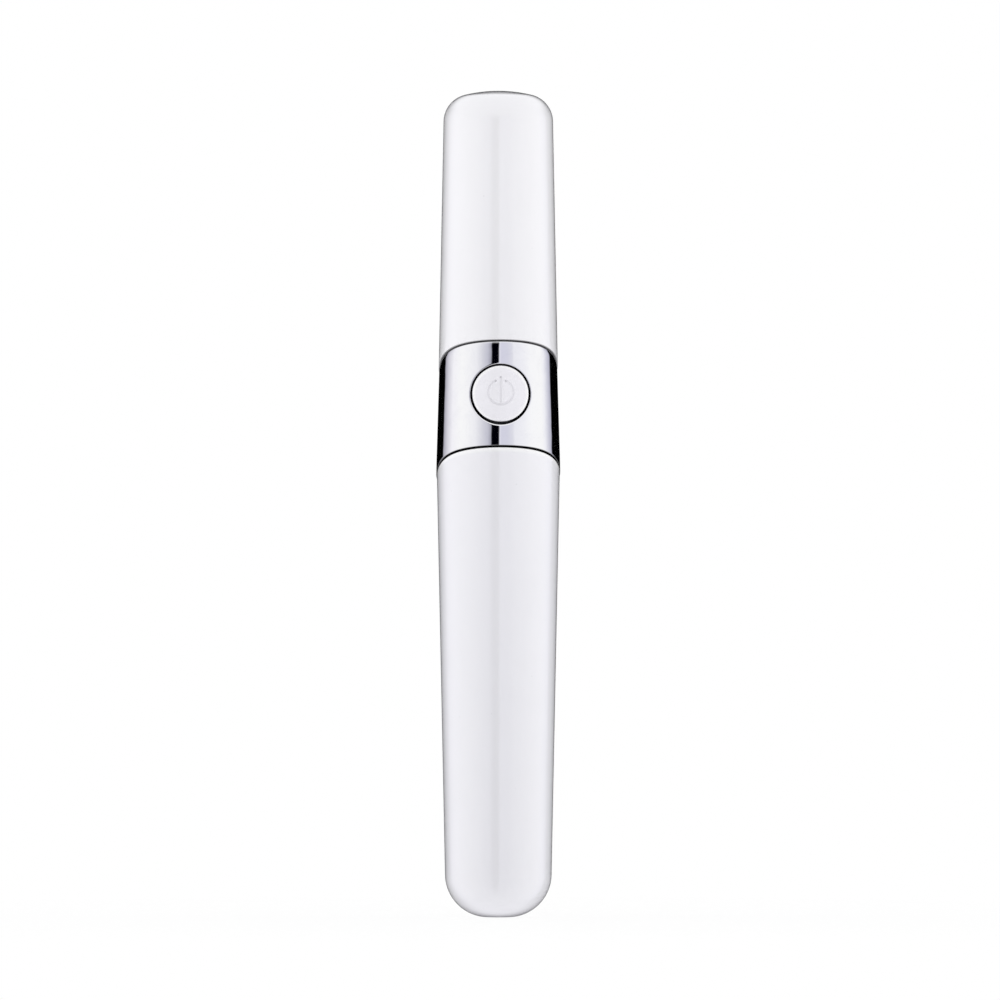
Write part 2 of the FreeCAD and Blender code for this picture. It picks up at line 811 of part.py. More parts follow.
def make_negative_contact():
    """A strip from under the spring, up the back of the tray, to just above the bulkhead."""
    body = new_body("negative_contact")
    side = outline(body, "strip_side", "YZ", [
        ("-spring_r", "bay_floor"),
        ("strip_out", "bay_floor"),
        ("strip_out", "strip_top"),
        ("strip_in", "strip_top"),
        ("strip_in", "spring_bottom"),
        ("-spring_r", "spring_bottom"),
    ])
    pad(body, "strip", side, "strip_width", both_ways=True)
    plate = new_sketch(body, "spring_plate_circle", "XY", "bay_floor")
    add_circle(plate, "spring_r + 3 * spring_wire_r")
    pad(body, "spring_plate", plate, "contact_thick")
    return body


def make_positive_contact():
    """A plate over the cell, bent up through the bulkhead to the front of the board."""
    body = new_body("positive_contact")
    side = outline(body, "tab_side", "YZ", [
        ("-board_front - contact_thick", "battery_top"),
        ("spring_r", "battery_top"),
        ("spring_r", "bay_top"),
        ("-board_front", "bay_top"),
        ("-board_front", "board_bottom + tab_rise"),
        ("-board_front - contact_thick", "board_bottom + tab_rise"),
    ])
    pad(body, "tab", side, "contact_width", both_ways=True)
    return body


# Circuit board, screwed to the web, with the switch behind the button --------------------------------

def make_circuit_board():
    body = new_body("circuit_board")
    half = "board_width / 2"
    front = outline(body, "board_outline", "XZ",
                    box_corners("-" + half, half, "board_bottom", "board_top"), "board_back")
    add_circle(front, "screw_r + screw_fit", "-board_screw_x", "low_screw")
    add_circle(front, "screw_r + screw_fit", "board_screw_x", "high_screw")
    pad(body, "board", front, "board_thick")
    return body


def make_board_screws():
    screws = []
    spots = [("low", "-board_screw_x", "low_screw"), ("high", "board_screw_x", "high_screw")]
    for word, across, up in spots:
        foot = (across, "-board_front + screw_length", up)
        shank = cylinder(word + "_screw_shank", "screw_r", "screw_length", foot, forward=True)
        head_foot = (across, "-board_front", up)
        head = cylinder(word + "_screw_head", "screw_head_r", "screw_head", head_foot, forward=True)
        middle = (across, "-board_front - screw_head", up)
        slot = block(word + "_screw_slot", "screw_head_r * 2", "screw_slot", "screw_slot", middle)
        screws.append(cut_away(word + "_screw", join(word + "_screw_blank", [shank, head]), slot))
    return group("board_screws", screws)


def make_switch():
    """A tactile switch: a base with a round well, a thin steel cover, and the plunger that sticks out."""
    well_back = "-plunger_front + plunger_length + plunger_room"
    well = cylinder("switch_well", "plunger_r + plunger_fit", "plunger_front",
                    ("0", well_back, "button_height"), forward=True)
    case = block("switch_case", "switch_width", "switch_depth", "switch_width",
                 ("0", "-board_front - switch_depth / 2", "button_height"))
    base = cut_away("tact_switch_base", case, well)
    plate = block("switch_plate", "switch_width", "switch_cover", "switch_width",
                  ("0", "-cover_front + switch_cover / 2", "button_height"))
    cover = cut_away("tact_switch_cover", plate, well)
    plunger = cylinder("tact_switch_plunger", "plunger_r", "plunger_length",
                       ("0", "-plunger_front + plunger_length", "button_height"), forward=True)
    return [base, cover, plunger]


def make_controller_chip():
    pieces = [block("chip_case", "chip_width", "chip_thick", "chip_height",
                    ("-chip_aside", "-board_front - chip_thick / 2", "chip_middle"))]
    for row in range(4):
        height = "chip_middle + pin_pitch * %s" % (row - 1.5)
        width = "chip_width + 2 * pin_length"
        pieces.append(block("chip_pins_%d" % row, width, "pin_width", "pin_width",
                            ("-chip_aside", "-board_front - pin_width / 2", height)))
    return join("controller_chip", pieces)


def make_boost_inductor():
    base = block("coil_foot", "coil_width", "coil_base", "coil_width",
                 ("coil_aside", "-board_front - coil_base / 2", "chip_middle"))
    drum = cylinder("coil_drum", "coil_r", "coil_height", ("coil_aside", "-board_front", "chip_middle"),
                    forward=True)
    return join("boost_inductor", [base, drum])


def make_capacitors():
    pieces = []
    for number in range(4):
        across = "capacitor_pitch * %s" % (number - 1.5)
        middle = (across, "-board_front - capacitor_thick / 2", "capacitor_height")
        pieces.append(block("capacitor_%d" % number, "capacitor_width", "capacitor_thick",
                            "capacitor_thick", middle))
    return group("capacitors", pieces)


# Head: the white neck under the cap, whose spigot goes down through the ring's lip into the collar ---

def make_head_shell():
    body = new_body("head_shell")
    groove_low = "neck_seal_height - groove_width / 2"
    groove_high = "neck_seal_height + groove_width / 2"
    turn_up(body, "neck", [
        ("head_bore_r", "upper_seam - seam_rise"),
        ("neck_r", "upper_seam - seam_rise"),
        ("neck_r", groove_low),
        ("neck_seal_r - seal_r", groove_low),
        ("neck_seal_r - seal_r", groove_high),
        ("neck_r", groove_high),
        ("neck_r", "neck_top"),
        ("head_top_r", "head_top"),
        ("tip_spigot_r + tip_fit", "head_top"),
        ("tip_spigot_r + tip_fit", "head_plate_bottom"),
        ("head_top_r - head_wall", "head_plate_bottom"),
        ("head_bore_r - rib_stop", "holder_top + rib_fit"),
        ("head_bore_r", "holder_top + rib_fit"),
    ])
    soften(body, "neck_edge", "Fillet", "neck_round", edge_at("neck_r", "neck_top"))
    cut_on_seam(body, "shoulder", "upper_seam", "above")
    turn_up(body, "spigot", [
        ("head_bore_r", "upper_seam - seam_rise - spigot_down"),
        ("spigot_r", "upper_seam - seam_rise - spigot_down"),
        ("spigot_r", "ring_high"),
        ("head_bore_r", "ring_high"),
    ])
    cut_on_seam(body, "spigot_end", "upper_seam - spigot_down", "above")
    return body


# Motor: held in a rubber boot by a ribbed holder in the neck -----------------------------------------

def make_motor():
    can = cylinder("motor_case", "motor_r", "motor_length", ("0", "0", "motor_can_bottom"))
    bore_foot = "motor_top - shaft_sunk"
    bore = cylinder("motor_bore", "shaft_r + shaft_fit", "shaft_sunk", ("0", "0", bore_foot))
    motor = cut_away("motor_can", can, bore)
    end = cylinder("motor_end_cap", "motor_r", "end_cap", ("0", "0", "motor_bottom"))
    shaft_foot = "motor_top - shaft_sunk + shaft_fit"
    shaft = cylinder("motor_shaft", "shaft_r", "weight_top - motor_top + shaft_sunk",
                     ("0", "0", shaft_foot))
    return [motor, end, shaft]


def make_eccentric_weight():
    body = new_body("eccentric_weight")
    plan = outline(body, "weight_plan", "XY", [
        ("-weight_r", "0"),
        ("0", "-weight_r", "weight_r"),
        ("weight_r", "0", "weight_r"),
        ("shaft_r * 2", "shaft_r * 2"),
        ("-shaft_r * 2", "shaft_r * 2"),
    ], "weight_bottom")
    add_circle(plan, "shaft_r")
    pad(body, "weight", plan, "weight_length")
    return body


def make_motor_boot():
    foot = ("0", "0", "motor_can_bottom + boot_up")
    outside = cylinder("boot_outside", "motor_r + boot_wall", "boot_length", foot)
    inside = cylinder("boot_inside", "motor_r", "boot_length", foot)
    return cut_away("motor_boot", outside, inside)


def make_motor_holder():
    body = new_body("motor_holder")
    turn_up(body, "holder_tube", [
        ("holder_hole_r", "holder_bottom"),
        ("holder_r", "holder_bottom"),
        ("holder_r", "holder_top"),
        ("motor_r + boot_wall", "holder_top"),
        ("motor_r + boot_wall", "motor_bottom"),
        ("holder_hole_r", "motor_bottom"),
    ])
    rib_inside = "(holder_r + motor_r + boot_wall) / 2"
    rib_side = outline(body, "rib_side", "XZ",
                       box_corners(rib_inside, "head_bore_r - rib_fit", "holder_bottom", "holder_top"))
    rib = pad(body, "rib", rib_side, "rib_thick", both_ways=True)
    doc.recompute()
    ribs = body.newObject("PartDesign::PolarPattern", "ribs")
    ribs.Originals = [rib]
    ribs.Axis = (rib_side, ["V_Axis"])
    ribs.Angle = 360
    ribs.Occurrences = 4
    body.Tip = ribs
    return body


# Tip: a soft collar and the metal tip, with the heater and its sensor behind the slanted face ---------

def make_tip_collar():
    body = new_body("tip_collar")
    turn_up(body, "tip_collar_ring", [
        ("tip_spigot_r + tip_fit", "head_top"),
        ("head_top_r", "head_top"),
        ("head_top_r", "tip_base"),
        ("tip_spigot_r + tip_fit", "tip_base"),
    ])
    soften(body, "tip_collar_edge", "Fillet", "tip_collar / 5", edge_at("head_top_r", "tip_base"))
    return body


def make_massage_tip():
    body = new_body("massage_tip")
    turn_up(body, "tip_blank", [
        ("0", "head_plate_bottom"),
        ("tip_spigot_r", "head_plate_bottom"),
        ("tip_spigot_r", "tip_base"),
        ("tip_r", "tip_base"),
        ("tip_r", "tip_top"),
        ("0", "tip_top"),
    ])
    low = "tip_face_low + (tip_r - seam_reach) * tip_rise"
    high = "tip_face_low + (tip_r + seam_reach) * tip_rise"
    slope = outline(body, "tip_slope_side", "YZ",
                    [("-seam_reach", low), ("seam_reach", high), ("-seam_reach", high)])
    pocket(body, "tip_slope", slope, both_ways=True)

    def round_the_face(edge):
        return all(spot.z > value("tip_face_low") - 0.01 for spot in edge_spots(edge))

    soften(body, "tip_face_edge", "Fillet", "tip_face_round", round_the_face)
    bore = new_sketch(body, "tip_bore_circle", "XY", "head_plate_bottom")
    add_circle(bore, "tip_bore_r")
    pocket(body, "tip_bore", bore, "tip_base + tip_floor - head_plate_bottom", along=True)
    half = "chamber_depth / 2"
    chamber = outline(body, "chamber_side", "YZ", [
        ("-" + half, "tip_base + tip_floor"),
        (half, "tip_base + tip_floor"),
        (half, "roof_middle + chamber_depth / 2 * tip_rise"),
        ("-" + half, "roof_middle - chamber_depth / 2 * tip_rise"),
    ])
    pocket(body, "chamber", chamber, "chamber_width", both_ways=True)
    return body


def behind_face(along, depth):
    """A place behind the slanted face: how far up the slope from the middle, how far in."""
    back = "%s * cos(tip_slant) + (%s) * sin(tip_slant)" % (along, depth)
    up = "roof_middle + %s * sin(tip_slant) - (%s) * cos(tip_slant)" % (along, depth)
    return back, up


def make_heater_plate():
    plate = doc.addObject("Part::Box", "heater_plate")
    for side, text in (("Length", "heater_width"), ("Width", "heater_length"), ("Height", "heater_thick")):
        plate.setExpression(side, bound(text))
    back, up = behind_face("-heater_length / 2", "heater_thick")
    plate.Placement = Placement(Vector(0, 0, 0), Rotation(Vector(1, 0, 0), value("tip_slant")))
    return set_place(plate, ("-heater_width / 2", back, up))


def make_thermistor():
    bead = doc.addObject("Part::Sphere", "thermistor")
    bead.setExpression("Radius", bound("bead_r"))
    back, up = behind_face("bead_along", "heater_thick + bead_r")
    return set_place(bead, ("0", back, up))


# Leads -------------------------------------------------------------------------------------------------

def make_leads():
    """The motor's pair, the heater's pair and the lead from the return strip, each to the board."""
    pad_front = "-board_front + board_thick / 2"
    pieces = []
    for name, side in (("motor_lead_red", ""), ("motor_lead_black", "-")):
        route = [
            point(side + "terminal_aside", "-terminal_forward", "motor_bottom"),
            point(side + "terminal_aside", "-terminal_forward", "motor_bottom - terminal_drop"),
            point(side + "motor_pad_aside", pad_front, "board_top + motor_pad_rise"),
            point(side + "motor_pad_aside", pad_front, "board_top"),
        ]
        pieces.append(lead(name, [lead_shape(value("lead_r"), route)]))

    back, up = behind_face("-heater_pad_down", "heater_thick + heater_lead_r / 2")
    track = "lead_track * cos(45)"
    heater_leads = []
    for side in ("", "-"):
        route = [
            point(side + "heater_pad_aside", back, up),
            point(side + "tip_way_aside", "tip_way_back", "tip_base + tip_way_up"),
            point(side + "plate_way_aside", "plate_way_back", "head_plate_bottom - plate_way_down"),
            point(side + track, track, "holder_top"),
            point(side + track, track, "holder_bottom + holder_way_end"),
            point(side + "under_way_aside", "under_way_back", "holder_bottom - holder_way_end"),
            point(side + "board_way_aside", "-board_way_forward", "board_top + board_way_rise"),
            point(side + "board_way_aside", pad_front, "board_top + heater_lead_r / 2"),
        ]
        heater_leads.append(lead_shape(value("heater_lead_r"), route))
    pieces.append(lead("heater_leads", heater_leads))

    route = [
        point("0", "strip_in", "strip_top - strip_pad_down"),
        point("0", "strip_in - strip_way_in", "strip_top - strip_pad_down"),
        point("0", "web_way_back", "capacitor_height"),
        point("0", "-board_back", "capacitor_height"),
    ]
    pieces.append(lead("ground_lead", [lead_shape(value("lead_r"), route)]))
    return pieces


# The wand, from the cap down to the leads ----------------------------------------------------------------

sub_parts = [
    make_cap(),
    make_battery_sleeve(),
    make_trim_ring(),
    make_power_button(),
    make_inner_frame(),
    make_seal("sleeve_o_ring", "sleeve_seal_r", "sleeve_seal_height"),
    make_seal("neck_o_ring", "neck_seal_r", "neck_seal_height"),
    make_battery_cell(),
    make_battery_spring(),
    make_negative_contact(),
    make_positive_contact(),
    make_circuit_board(),
    make_board_screws(),
    *make_switch(),
    make_controller_chip(),
    make_boost_inductor(),
    make_capacitors(),
    make_head_shell(),
    *make_motor(),
    make_eccentric_weight(),
    make_motor_boot(),
    make_motor_holder(),
    make_tip_collar(),
    make_massage_tip(),
    make_heater_plate(),
    make_thermistor(),
    *make_leads(),
]
doc.recompute()

for piece in doc.Objects:
    if "Invalid" in piece.State or "Error" in piece.State:
        raise RuntimeError("%s failed: %s" % (piece.Name, piece.State))
    if piece.TypeId in ("PartDesign::Pocket", "PartDesign::Groove"):
        if piece.Shape.Volume > piece.BaseFeature.Shape.Volume - 0.001:
            raise RuntimeError("%s cuts nothing" % piece.Name)
for piece in sub_parts:
    if piece.Shape.isNull() or not piece.Shape.isValid():
        raise RuntimeError("%s has no valid shape" % piece.Name)

os.makedirs("parts", exist_ok=True)
for piece in sub_parts:
    piece.Label = piece.Name
    piece.Shape.exportStep("parts/" + piece.Label + ".step")
    print("%-22s %2d solid(s) %9.2f mm3" % (piece.Label, len(piece.Shape.Solids), piece.Shape.Volume))
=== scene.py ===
import functools
import math

import bmesh
import bpy
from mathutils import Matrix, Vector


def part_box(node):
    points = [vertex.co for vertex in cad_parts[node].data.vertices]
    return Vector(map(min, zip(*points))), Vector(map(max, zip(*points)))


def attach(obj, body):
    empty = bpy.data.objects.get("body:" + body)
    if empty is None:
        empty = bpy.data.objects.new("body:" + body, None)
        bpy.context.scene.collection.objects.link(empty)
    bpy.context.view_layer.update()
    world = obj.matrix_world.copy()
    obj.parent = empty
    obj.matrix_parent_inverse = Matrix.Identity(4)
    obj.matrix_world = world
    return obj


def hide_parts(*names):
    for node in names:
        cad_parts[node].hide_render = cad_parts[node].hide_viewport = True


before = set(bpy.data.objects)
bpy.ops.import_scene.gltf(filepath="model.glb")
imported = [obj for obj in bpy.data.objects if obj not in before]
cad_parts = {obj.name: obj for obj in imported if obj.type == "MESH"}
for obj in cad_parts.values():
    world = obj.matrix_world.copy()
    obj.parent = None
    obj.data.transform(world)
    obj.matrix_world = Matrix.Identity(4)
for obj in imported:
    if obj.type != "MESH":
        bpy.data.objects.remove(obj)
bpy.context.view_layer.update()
scene = bpy.context.scene
scene.view_settings.view_transform = "Standard"
MM = 0.001


# Camera ---------------------------------------------------------------
# Level with the middle of the wand, a little to the left of the button, and far back on a long
# lens, so that the wand's sides keep their true taper.

camera_far = 3.0
camera_turn = math.radians(-2.35)
camera_aside = 0.0003
camera_up = 0.0732
picture_side = 0.1755
film_side = 36.0
camera_data = bpy.data.cameras.new("camera")
camera_data.sensor_width = film_side
camera_data.lens = film_side * camera_far / picture_side
camera = bpy.data.objects.new("camera", camera_data)
camera.location = (
    camera_far * math.sin(camera_turn) + camera_aside * math.cos(camera_turn),
    -camera_far * math.cos(camera_turn) + camera_aside * math.sin(camera_turn),
    camera_up)
camera.rotation_euler = (math.radians(90), 0, camera_turn)
scene.collection.objects.link(camera)
scene.camera = camera


# Studio ---------------------------------------------------------------
# A table of frosted glass over white, and all round it a tent of white cloth: bright at both sides,
# greyer at the front where its halves leave a dark slit, and open to the dark room at the back.
# A lamp at the front lifts the wand's upper part.

def fill(node, inputs):
    """Gives each input of a node its plain value, or links the socket that feeds it."""
    for key, given in inputs.items():
        if isinstance(given, bpy.types.NodeSocket):
            node.id_data.links.new(given, node.inputs[key])
        else:
            node.inputs[key].default_value = given
    return node


def add_node(tree, kind, inputs=None, **settings):
    made = tree.nodes.new(kind)
    for key, setting in settings.items():
        setattr(made, key, setting)
    return fill(made, inputs or {})


def made_by(tree, kind, inputs=None, **settings):
    """The first output of a new node."""
    return add_node(tree, kind, inputs, **settings).outputs[0]


def tree_of(inputs):
    """The node tree that the sockets among some inputs belong to."""
    return next(given.id_data for given in inputs if isinstance(given, bpy.types.NodeSocket))


def calculate(how, *numbers, clamp=False):
    inputs = dict(enumerate(numbers))
    return made_by(tree_of(numbers), "ShaderNodeMath", inputs, operation=how, use_clamp=clamp)


def combine(how, first, second=None):
    """Reckons with directions. A dot product or a length gives a number."""
    inputs = {0: first}
    if second is not None:
        inputs["Scale" if how == "SCALE" else 1] = second
    made = add_node(first.id_data, "ShaderNodeVectorMath", inputs, operation=how)
    return made.outputs["Value" if how in ("DOT_PRODUCT", "LENGTH") else "Vector"]


def split(place):
    return add_node(place.id_data, "ShaderNodeSeparateXYZ", {0: place}).outputs


def joined(*parts):
    return made_by(tree_of(parts), "ShaderNodeCombineXYZ", dict(enumerate(parts)))


def times(first, second):
    return calculate("MULTIPLY", first, second)


def minus(first, second):
    return calculate("SUBTRACT", first, second)


def either(first, second):
    """1 where one mask or the other is 1, else 0."""
    return calculate("MAXIMUM", first, second)


def ramp(factor, stops, smooth=False):
    """A colour ramp: each stop is (place, grey) or (place, (r, g, b))."""
    made = add_node(factor.id_data, "ShaderNodeValToRGB", {"Fac": factor})
    made.color_ramp.interpolation = "EASE" if smooth else "LINEAR"
    points = made.color_ramp.elements
    while len(points) < len(stops):
        points.new(1.0)
    for spot, (place, tone) in zip(points, stops):
        spot.position = place
        spot.color = (*tone, 1) if isinstance(tone, tuple) else (tone, tone, tone, 1)
    return made.outputs[0]


def fade_in(factor, start, full):
    """0 up to the start, 1 from full on, and a soft change between them."""
    return ramp(factor, [(start, 0.0), (full, 1.0)], smooth=True)


def mix(factor, first, second):
    """Blends from the first colour to the second."""
    inputs = {0: factor}
    for number, tone in ((6, first), (7, second)):
        inputs[number] = (*tone, 1) if isinstance(tone, tuple) else tone
    made = add_node(factor.id_data, "ShaderNodeMix", inputs, data_type="RGBA", clamp_factor=True)
    return made.outputs[2]


# Each stop is a bearing round the wand in degrees, with 0 at the front, and the cloth's tone there
tent = [
    (-180, (0.0, 0.0, 0.0)), (-128, (0.0, 0.0, 0.0)), (-125, (0.42, 0.41, 0.47)),
    (-114, (0.68, 0.67, 0.73)), (-98, (0.95, 0.94, 0.98)), (-76, (1.0, 1.0, 1.0)),
    (-60, (0.97, 0.97, 0.98)), (-44, (0.90, 0.90, 0.93)), (-30, (0.70, 0.70, 0.76)),
    (-20, (0.58, 0.58, 0.66)), (-14, (0.36, 0.36, 0.42)), (-12.5, (0.0, 0.0, 0.002)),
    (1.2, (0.0, 0.0, 0.002)), (2.6, (0.80, 0.80, 0.88)), (6, (0.68, 0.68, 0.79)),
    (18, (0.69, 0.69, 0.79)), (27, (0.76, 0.76, 0.83)), (31, (0.87, 0.87, 0.92)),
    (48, (0.92, 0.92, 0.96)), (66, (0.99, 0.99, 1.0)), (92, (1.0, 1.0, 1.0)),
    (100, (0.93, 0.93, 0.97)), (112, (0.64, 0.64, 0.73)), (120, (0.46, 0.46, 0.55)),
    (122, (0.0, 0.0, 0.0)), (180, (0.0, 0.0, 0.0)),
]
# The same for the plain light that falls on everything, alike on the left and the right
soft_light = [(0, 0.61), (30, 0.63), (58, 1.04), (80, 1.49), (102, 1.47), (140, 0.94), (180, 0.89)]
gloss_above = (0.98, 0.98, 1.0)
gloss_below = (0.8, 0.8, 0.83)
ceiling_light = (0.92, 0.92, 0.93)
bounced_light = (1.12, 1.12, 1.13)
world = bpy.data.worlds.new("studio")
world.use_nodes = True
scene.world = world
air = world.node_tree
air.nodes.clear()
way = split(add_node(air, "ShaderNodeTexCoord").outputs["Generated"])
upward = way["Z"]
downward = times(upward, -1.0)
bearing = calculate("ARCTAN2", way["X"], times(way["Y"], -1.0))
turn_start = 0.5 - camera_turn / (2 * math.pi)
turn = calculate("FRACT", calculate("MULTIPLY_ADD", bearing, 0.5 / math.pi, turn_start))
cloth = ramp(turn, [(degrees / 360 + 0.5, tone) for degrees, tone in tent])
seen_in_gloss = mix(fade_in(upward, 0.25, 0.6), cloth, gloss_above)
seen_in_gloss = mix(fade_in(downward, 0.5, 0.9), seen_in_gloss, gloss_below)
aside = times(calculate("ABSOLUTE", minus(turn, 0.5)), 2.0)
side_light = ramp(aside, [(degrees / 180, tone / 2) for degrees, tone in soft_light])
side_light = times(side_light, 2.0)
soft = mix(fade_in(upward, 0.35, 0.9), side_light, ceiling_light)
soft = mix(fade_in(downward, 0.35, 0.8), soft, bounced_light)
rays = add_node(air, "ShaderNodeLightPath").outputs
lit = mix(rays["Is Glossy Ray"], soft, seen_in_gloss)
shown = mix(either(rays["Is Camera Ray"], rays["Is Transmission Ray"]), lit, (1.0, 1.0, 1.0))
light = made_by(air, "ShaderNodeBackground", {"Color": shown, "Strength": 1.0})
add_node(air, "ShaderNodeOutputWorld", {"Surface": light})

lamp_place = (-0.03, -0.6, 0.26)
lamp_aim = (0.0, 0.0, 0.135)
lamp_watts = 1.8
lamp_r = 0.08
lamp_cone = math.radians(20)
lamp_data = bpy.data.lights.new("front_lamp", "SPOT")
lamp_data.energy = lamp_watts
lamp_data.shadow_soft_size = lamp_r
lamp_data.spot_size = lamp_cone
lamp_data.spot_blend = 1.0
lamp = bpy.data.objects.new("front_lamp", lamp_data)
lamp.location = lamp_place
x, y, z = [there - here for here, there in zip(lamp_place, lamp_aim)]
lamp.rotation_euler = (math.atan2(math.hypot(x, y), -z), 0, math.atan2(-x, y))
lamp.visible_glossy = False
scene.collection.objects.link(lamp)

table_r = 0.7
glass_clear = 0.9
glass_lit = 0.7
haze_r = 0.16
clear_r = 0.02
table_mesh = bpy.data.meshes.new("floor")
plate = bmesh.new()
bmesh.ops.create_circle(plate, cap_ends=True, radius=table_r, segments=96)
plate.to_mesh(table_mesh)
plate.free()
table = bpy.data.objects.new("floor", table_mesh)
scene.collection.objects.link(table)
floor_glass = bpy.data.materials.new("floor_frosted_glass")
floor_glass.use_nodes = True
glass = floor_glass.node_tree
glass.nodes.clear()
glass_place = add_node(glass, "ShaderNodeTexCoord").outputs["Object"]
glass_grain = made_by(glass, "ShaderNodeTexNoise", {"Vector": glass_place, "Scale": 900.0, "Detail": 3.0})
glass_tone = ramp(glass_grain, [(0.3, 0.93), (0.7, 0.97)])
clearness = made_by(glass, "ShaderNodeMapRange", {
    "Value": combine("LENGTH", glass_place), "From Min": clear_r, "From Max": haze_r,
    "To Min": glass_clear, "To Max": 1.0})
rays = add_node(glass, "ShaderNodeLightPath").outputs
looked_through = either(either(rays["Is Camera Ray"], rays["Is Glossy Ray"]), rays["Is Transmission Ray"])
looked_through = calculate("MULTIPLY_ADD", looked_through, 1.0 - glass_lit, glass_lit)
glass_mix = made_by(glass, "ShaderNodeMixShader", {
    0: times(clearness, looked_through),
    1: made_by(glass, "ShaderNodeBsdfDiffuse", {"Color": glass_tone}),
    2: made_by(glass, "ShaderNodeBsdfTransparent")})
add_node(glass, "ShaderNodeOutputMaterial", {"Surface": glass_mix})
table_mesh.materials.append(floor_glass)


# Inner frame ----------------------------------------------------------
# The backbone, moulded in charcoal ABS with a fine spark-eroded skin: battery tray, bulkhead, the
# collar that stands inside the ring, and the web that carries the board.

def new_group(name, inputs, outputs):
    """A shader node group with number and direction inputs and number outputs."""
    group = bpy.data.node_groups.new(name, "ShaderNodeTree")
    for word, start in inputs.items():
        kind = "NodeSocketVector" if isinstance(start, tuple) else "NodeSocketFloat"
        group.interface.new_socket(word, in_out="INPUT", socket_type=kind).default_value = start
    for word in outputs:
        group.interface.new_socket(word, in_out="OUTPUT", socket_type="NodeSocketFloat")
    return group, group.nodes.new("NodeGroupInput").outputs, group.nodes.new("NodeGroupOutput")


def place_in_mm(tree):
    return combine("SCALE", add_node(tree, "ShaderNodeTexCoord").outputs["Object"], 1000.0)


def noise(place, scale, detail, **more):
    settings = {"Vector": place, "Scale": scale, "Detail": detail}
    settings.update({word.title(): number for word, number in more.items()})
    return made_by(place.id_data, "ShaderNodeTexNoise", settings)


def both(first, second):
    """1 where both masks are 1, else 0."""
    return times(first, second)


# A moulding's skin. Height is in millimetres: the ripple of the tool's polish or its eroded grain,
# and the raised line where the tool's halves met. Cloud is handling, and Specks is dust.
line_half = 1.0 / 14.0
speck_pitch = 0.25
speck_r = 0.045
speck_share = 0.14
handled_scale = 0.09
moulded_skin, given, out = new_group(
    "moulded_skin",
    {"Ripple Size": 2.5, "Ripple Depth": 0.001, "Speck Size": 0.35, "Parting Normal": (0.0, 0.0, 0.0),
     "Parting Place": 1.0, "Parting Height": 0.0},
    ["Height", "Cloud", "Specks"])
place = place_in_mm(moulded_skin)
ripple = noise(place, calculate("DIVIDE", 1.0, given["Ripple Size"]), 2.0)
off_line = minus(combine("DOT_PRODUCT", place, given["Parting Normal"]), given["Parting Place"])
off_line = times(calculate("ABSOLUTE", off_line), 1.0 / line_half)
flash = times(calculate("SUBTRACT", 1.0, off_line, clamp=True), given["Parting Height"])
handled = noise(place, handled_scale, 5.0, roughness=0.62, distortion=0.6)
per_speck = calculate("DIVIDE", speck_pitch, given["Speck Size"])
cells = add_node(moulded_skin, "ShaderNodeTexVoronoi", {"Vector": place, "Scale": per_speck}, feature="F1")
chance = made_by(moulded_skin, "ShaderNodeSeparateColor", {0: cells.outputs["Color"]})
near = calculate("LESS_THAN", cells.outputs["Distance"], speck_r)
fill(out, {"Height": calculate("MULTIPLY_ADD", ripple, given["Ripple Depth"], flash),
           "Cloud": fade_in(handled, 0.35, 0.72),
           "Specks": both(near, calculate("GREATER_THAN", chance, 1.0 - speck_share))})


def new_finish(name, group, **numbers):
    """A new material, its Principled shader, and a skin group in it with its own numbers."""
    finish = bpy.data.materials.new(name)
    finish.use_nodes = True
    inputs = {word.replace("_", " "): number for word, number in numbers.items()}
    skin = add_node(finish.node_tree, "ShaderNodeGroup", inputs, node_tree=group)
    return finish, finish.node_tree.nodes["Principled BSDF"], skin.outputs


def cover(shader, colour, rough_by, smooth, rough, height, **others):
    """Gives a shader its colour, a roughness that runs from smooth to rough, a height in millimetres
    that shapes the surface, and its other inputs."""
    tree = shader.id_data
    roughness = {"Value": rough_by, "To Min": smooth, "To Max": rough}
    relief = {"Height": height, "Distance": MM, "Strength": 1.0}
    fill(shader, {"Base Color": colour,
                  "Roughness": made_by(tree, "ShaderNodeMapRange", roughness),
                  "Normal": made_by(tree, "ShaderNodeBump", relief)})
    fill(shader, {word.replace("_", " "): given for word, given in others.items()})


# The near-black tone is painted shade and the near-white tone is a painted highlight, both laid on by a mesh
# attribute
painted_shade_tone = (0.012, 0.011, 0.012)
painted_highlight_tone = (0.98, 0.98, 0.985)


def with_painted_shading(colour):
    """Paints shade into a colour where the mesh's own shading attribute is above 0, in gaps, seams, bores
    and sunk strokes, and paints a highlight into it where that attribute is below 0."""
    grime = add_node(colour.id_data, "ShaderNodeAttribute", attribute_name="grime").outputs["Fac"]
    bright = mix(times(grime, -1.0), colour, painted_highlight_tone)
    return mix(grime, bright, painted_shade_tone)


def moulding(name, tone, shade, gloss, haze, coat=0.0, **skin_numbers):
    """A moulded surface: tone, and the shade where it has been handled; roughness from gloss to haze."""
    finish, shader, skin = new_finish(name, moulded_skin, **skin_numbers)
    worn = mix(skin["Cloud"], tone, shade)
    dusty = mix(skin["Specks"], worn, tuple(part * 0.72 for part in shade))
    cover(shader, with_painted_shading(dusty), skin["Cloud"], gloss, haze, skin["Height"],
          IOR=1.5, Coat_Weight=coat, Coat_Roughness=0.08)
    return finish


def dress(node, finish):
    """Gives a piece of the frame its finish."""
    for place_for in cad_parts[node].material_slots:
        place_for.material = finish


eroded = {"Ripple_Size": 0.16, "Ripple_Depth": 0.02, "Parting_Normal": (0.0, 1.0, 0.0),
          "Parting_Place": 0.0, "Parting_Height": 0.04}
dress("inner_frame", moulding(
    "frame_charcoal_abs", (0.026, 0.026, 0.029), (0.036, 0.036, 0.039), 0.46, 0.60, **eroded))


# Battery contacts -----------------------------------------------------
# Stamped from nickel-plated spring steel and pressed into the tray: a plate with a strip up the back
# of the tray for the minus end, and a bent tab through the bulkhead for the plus end.

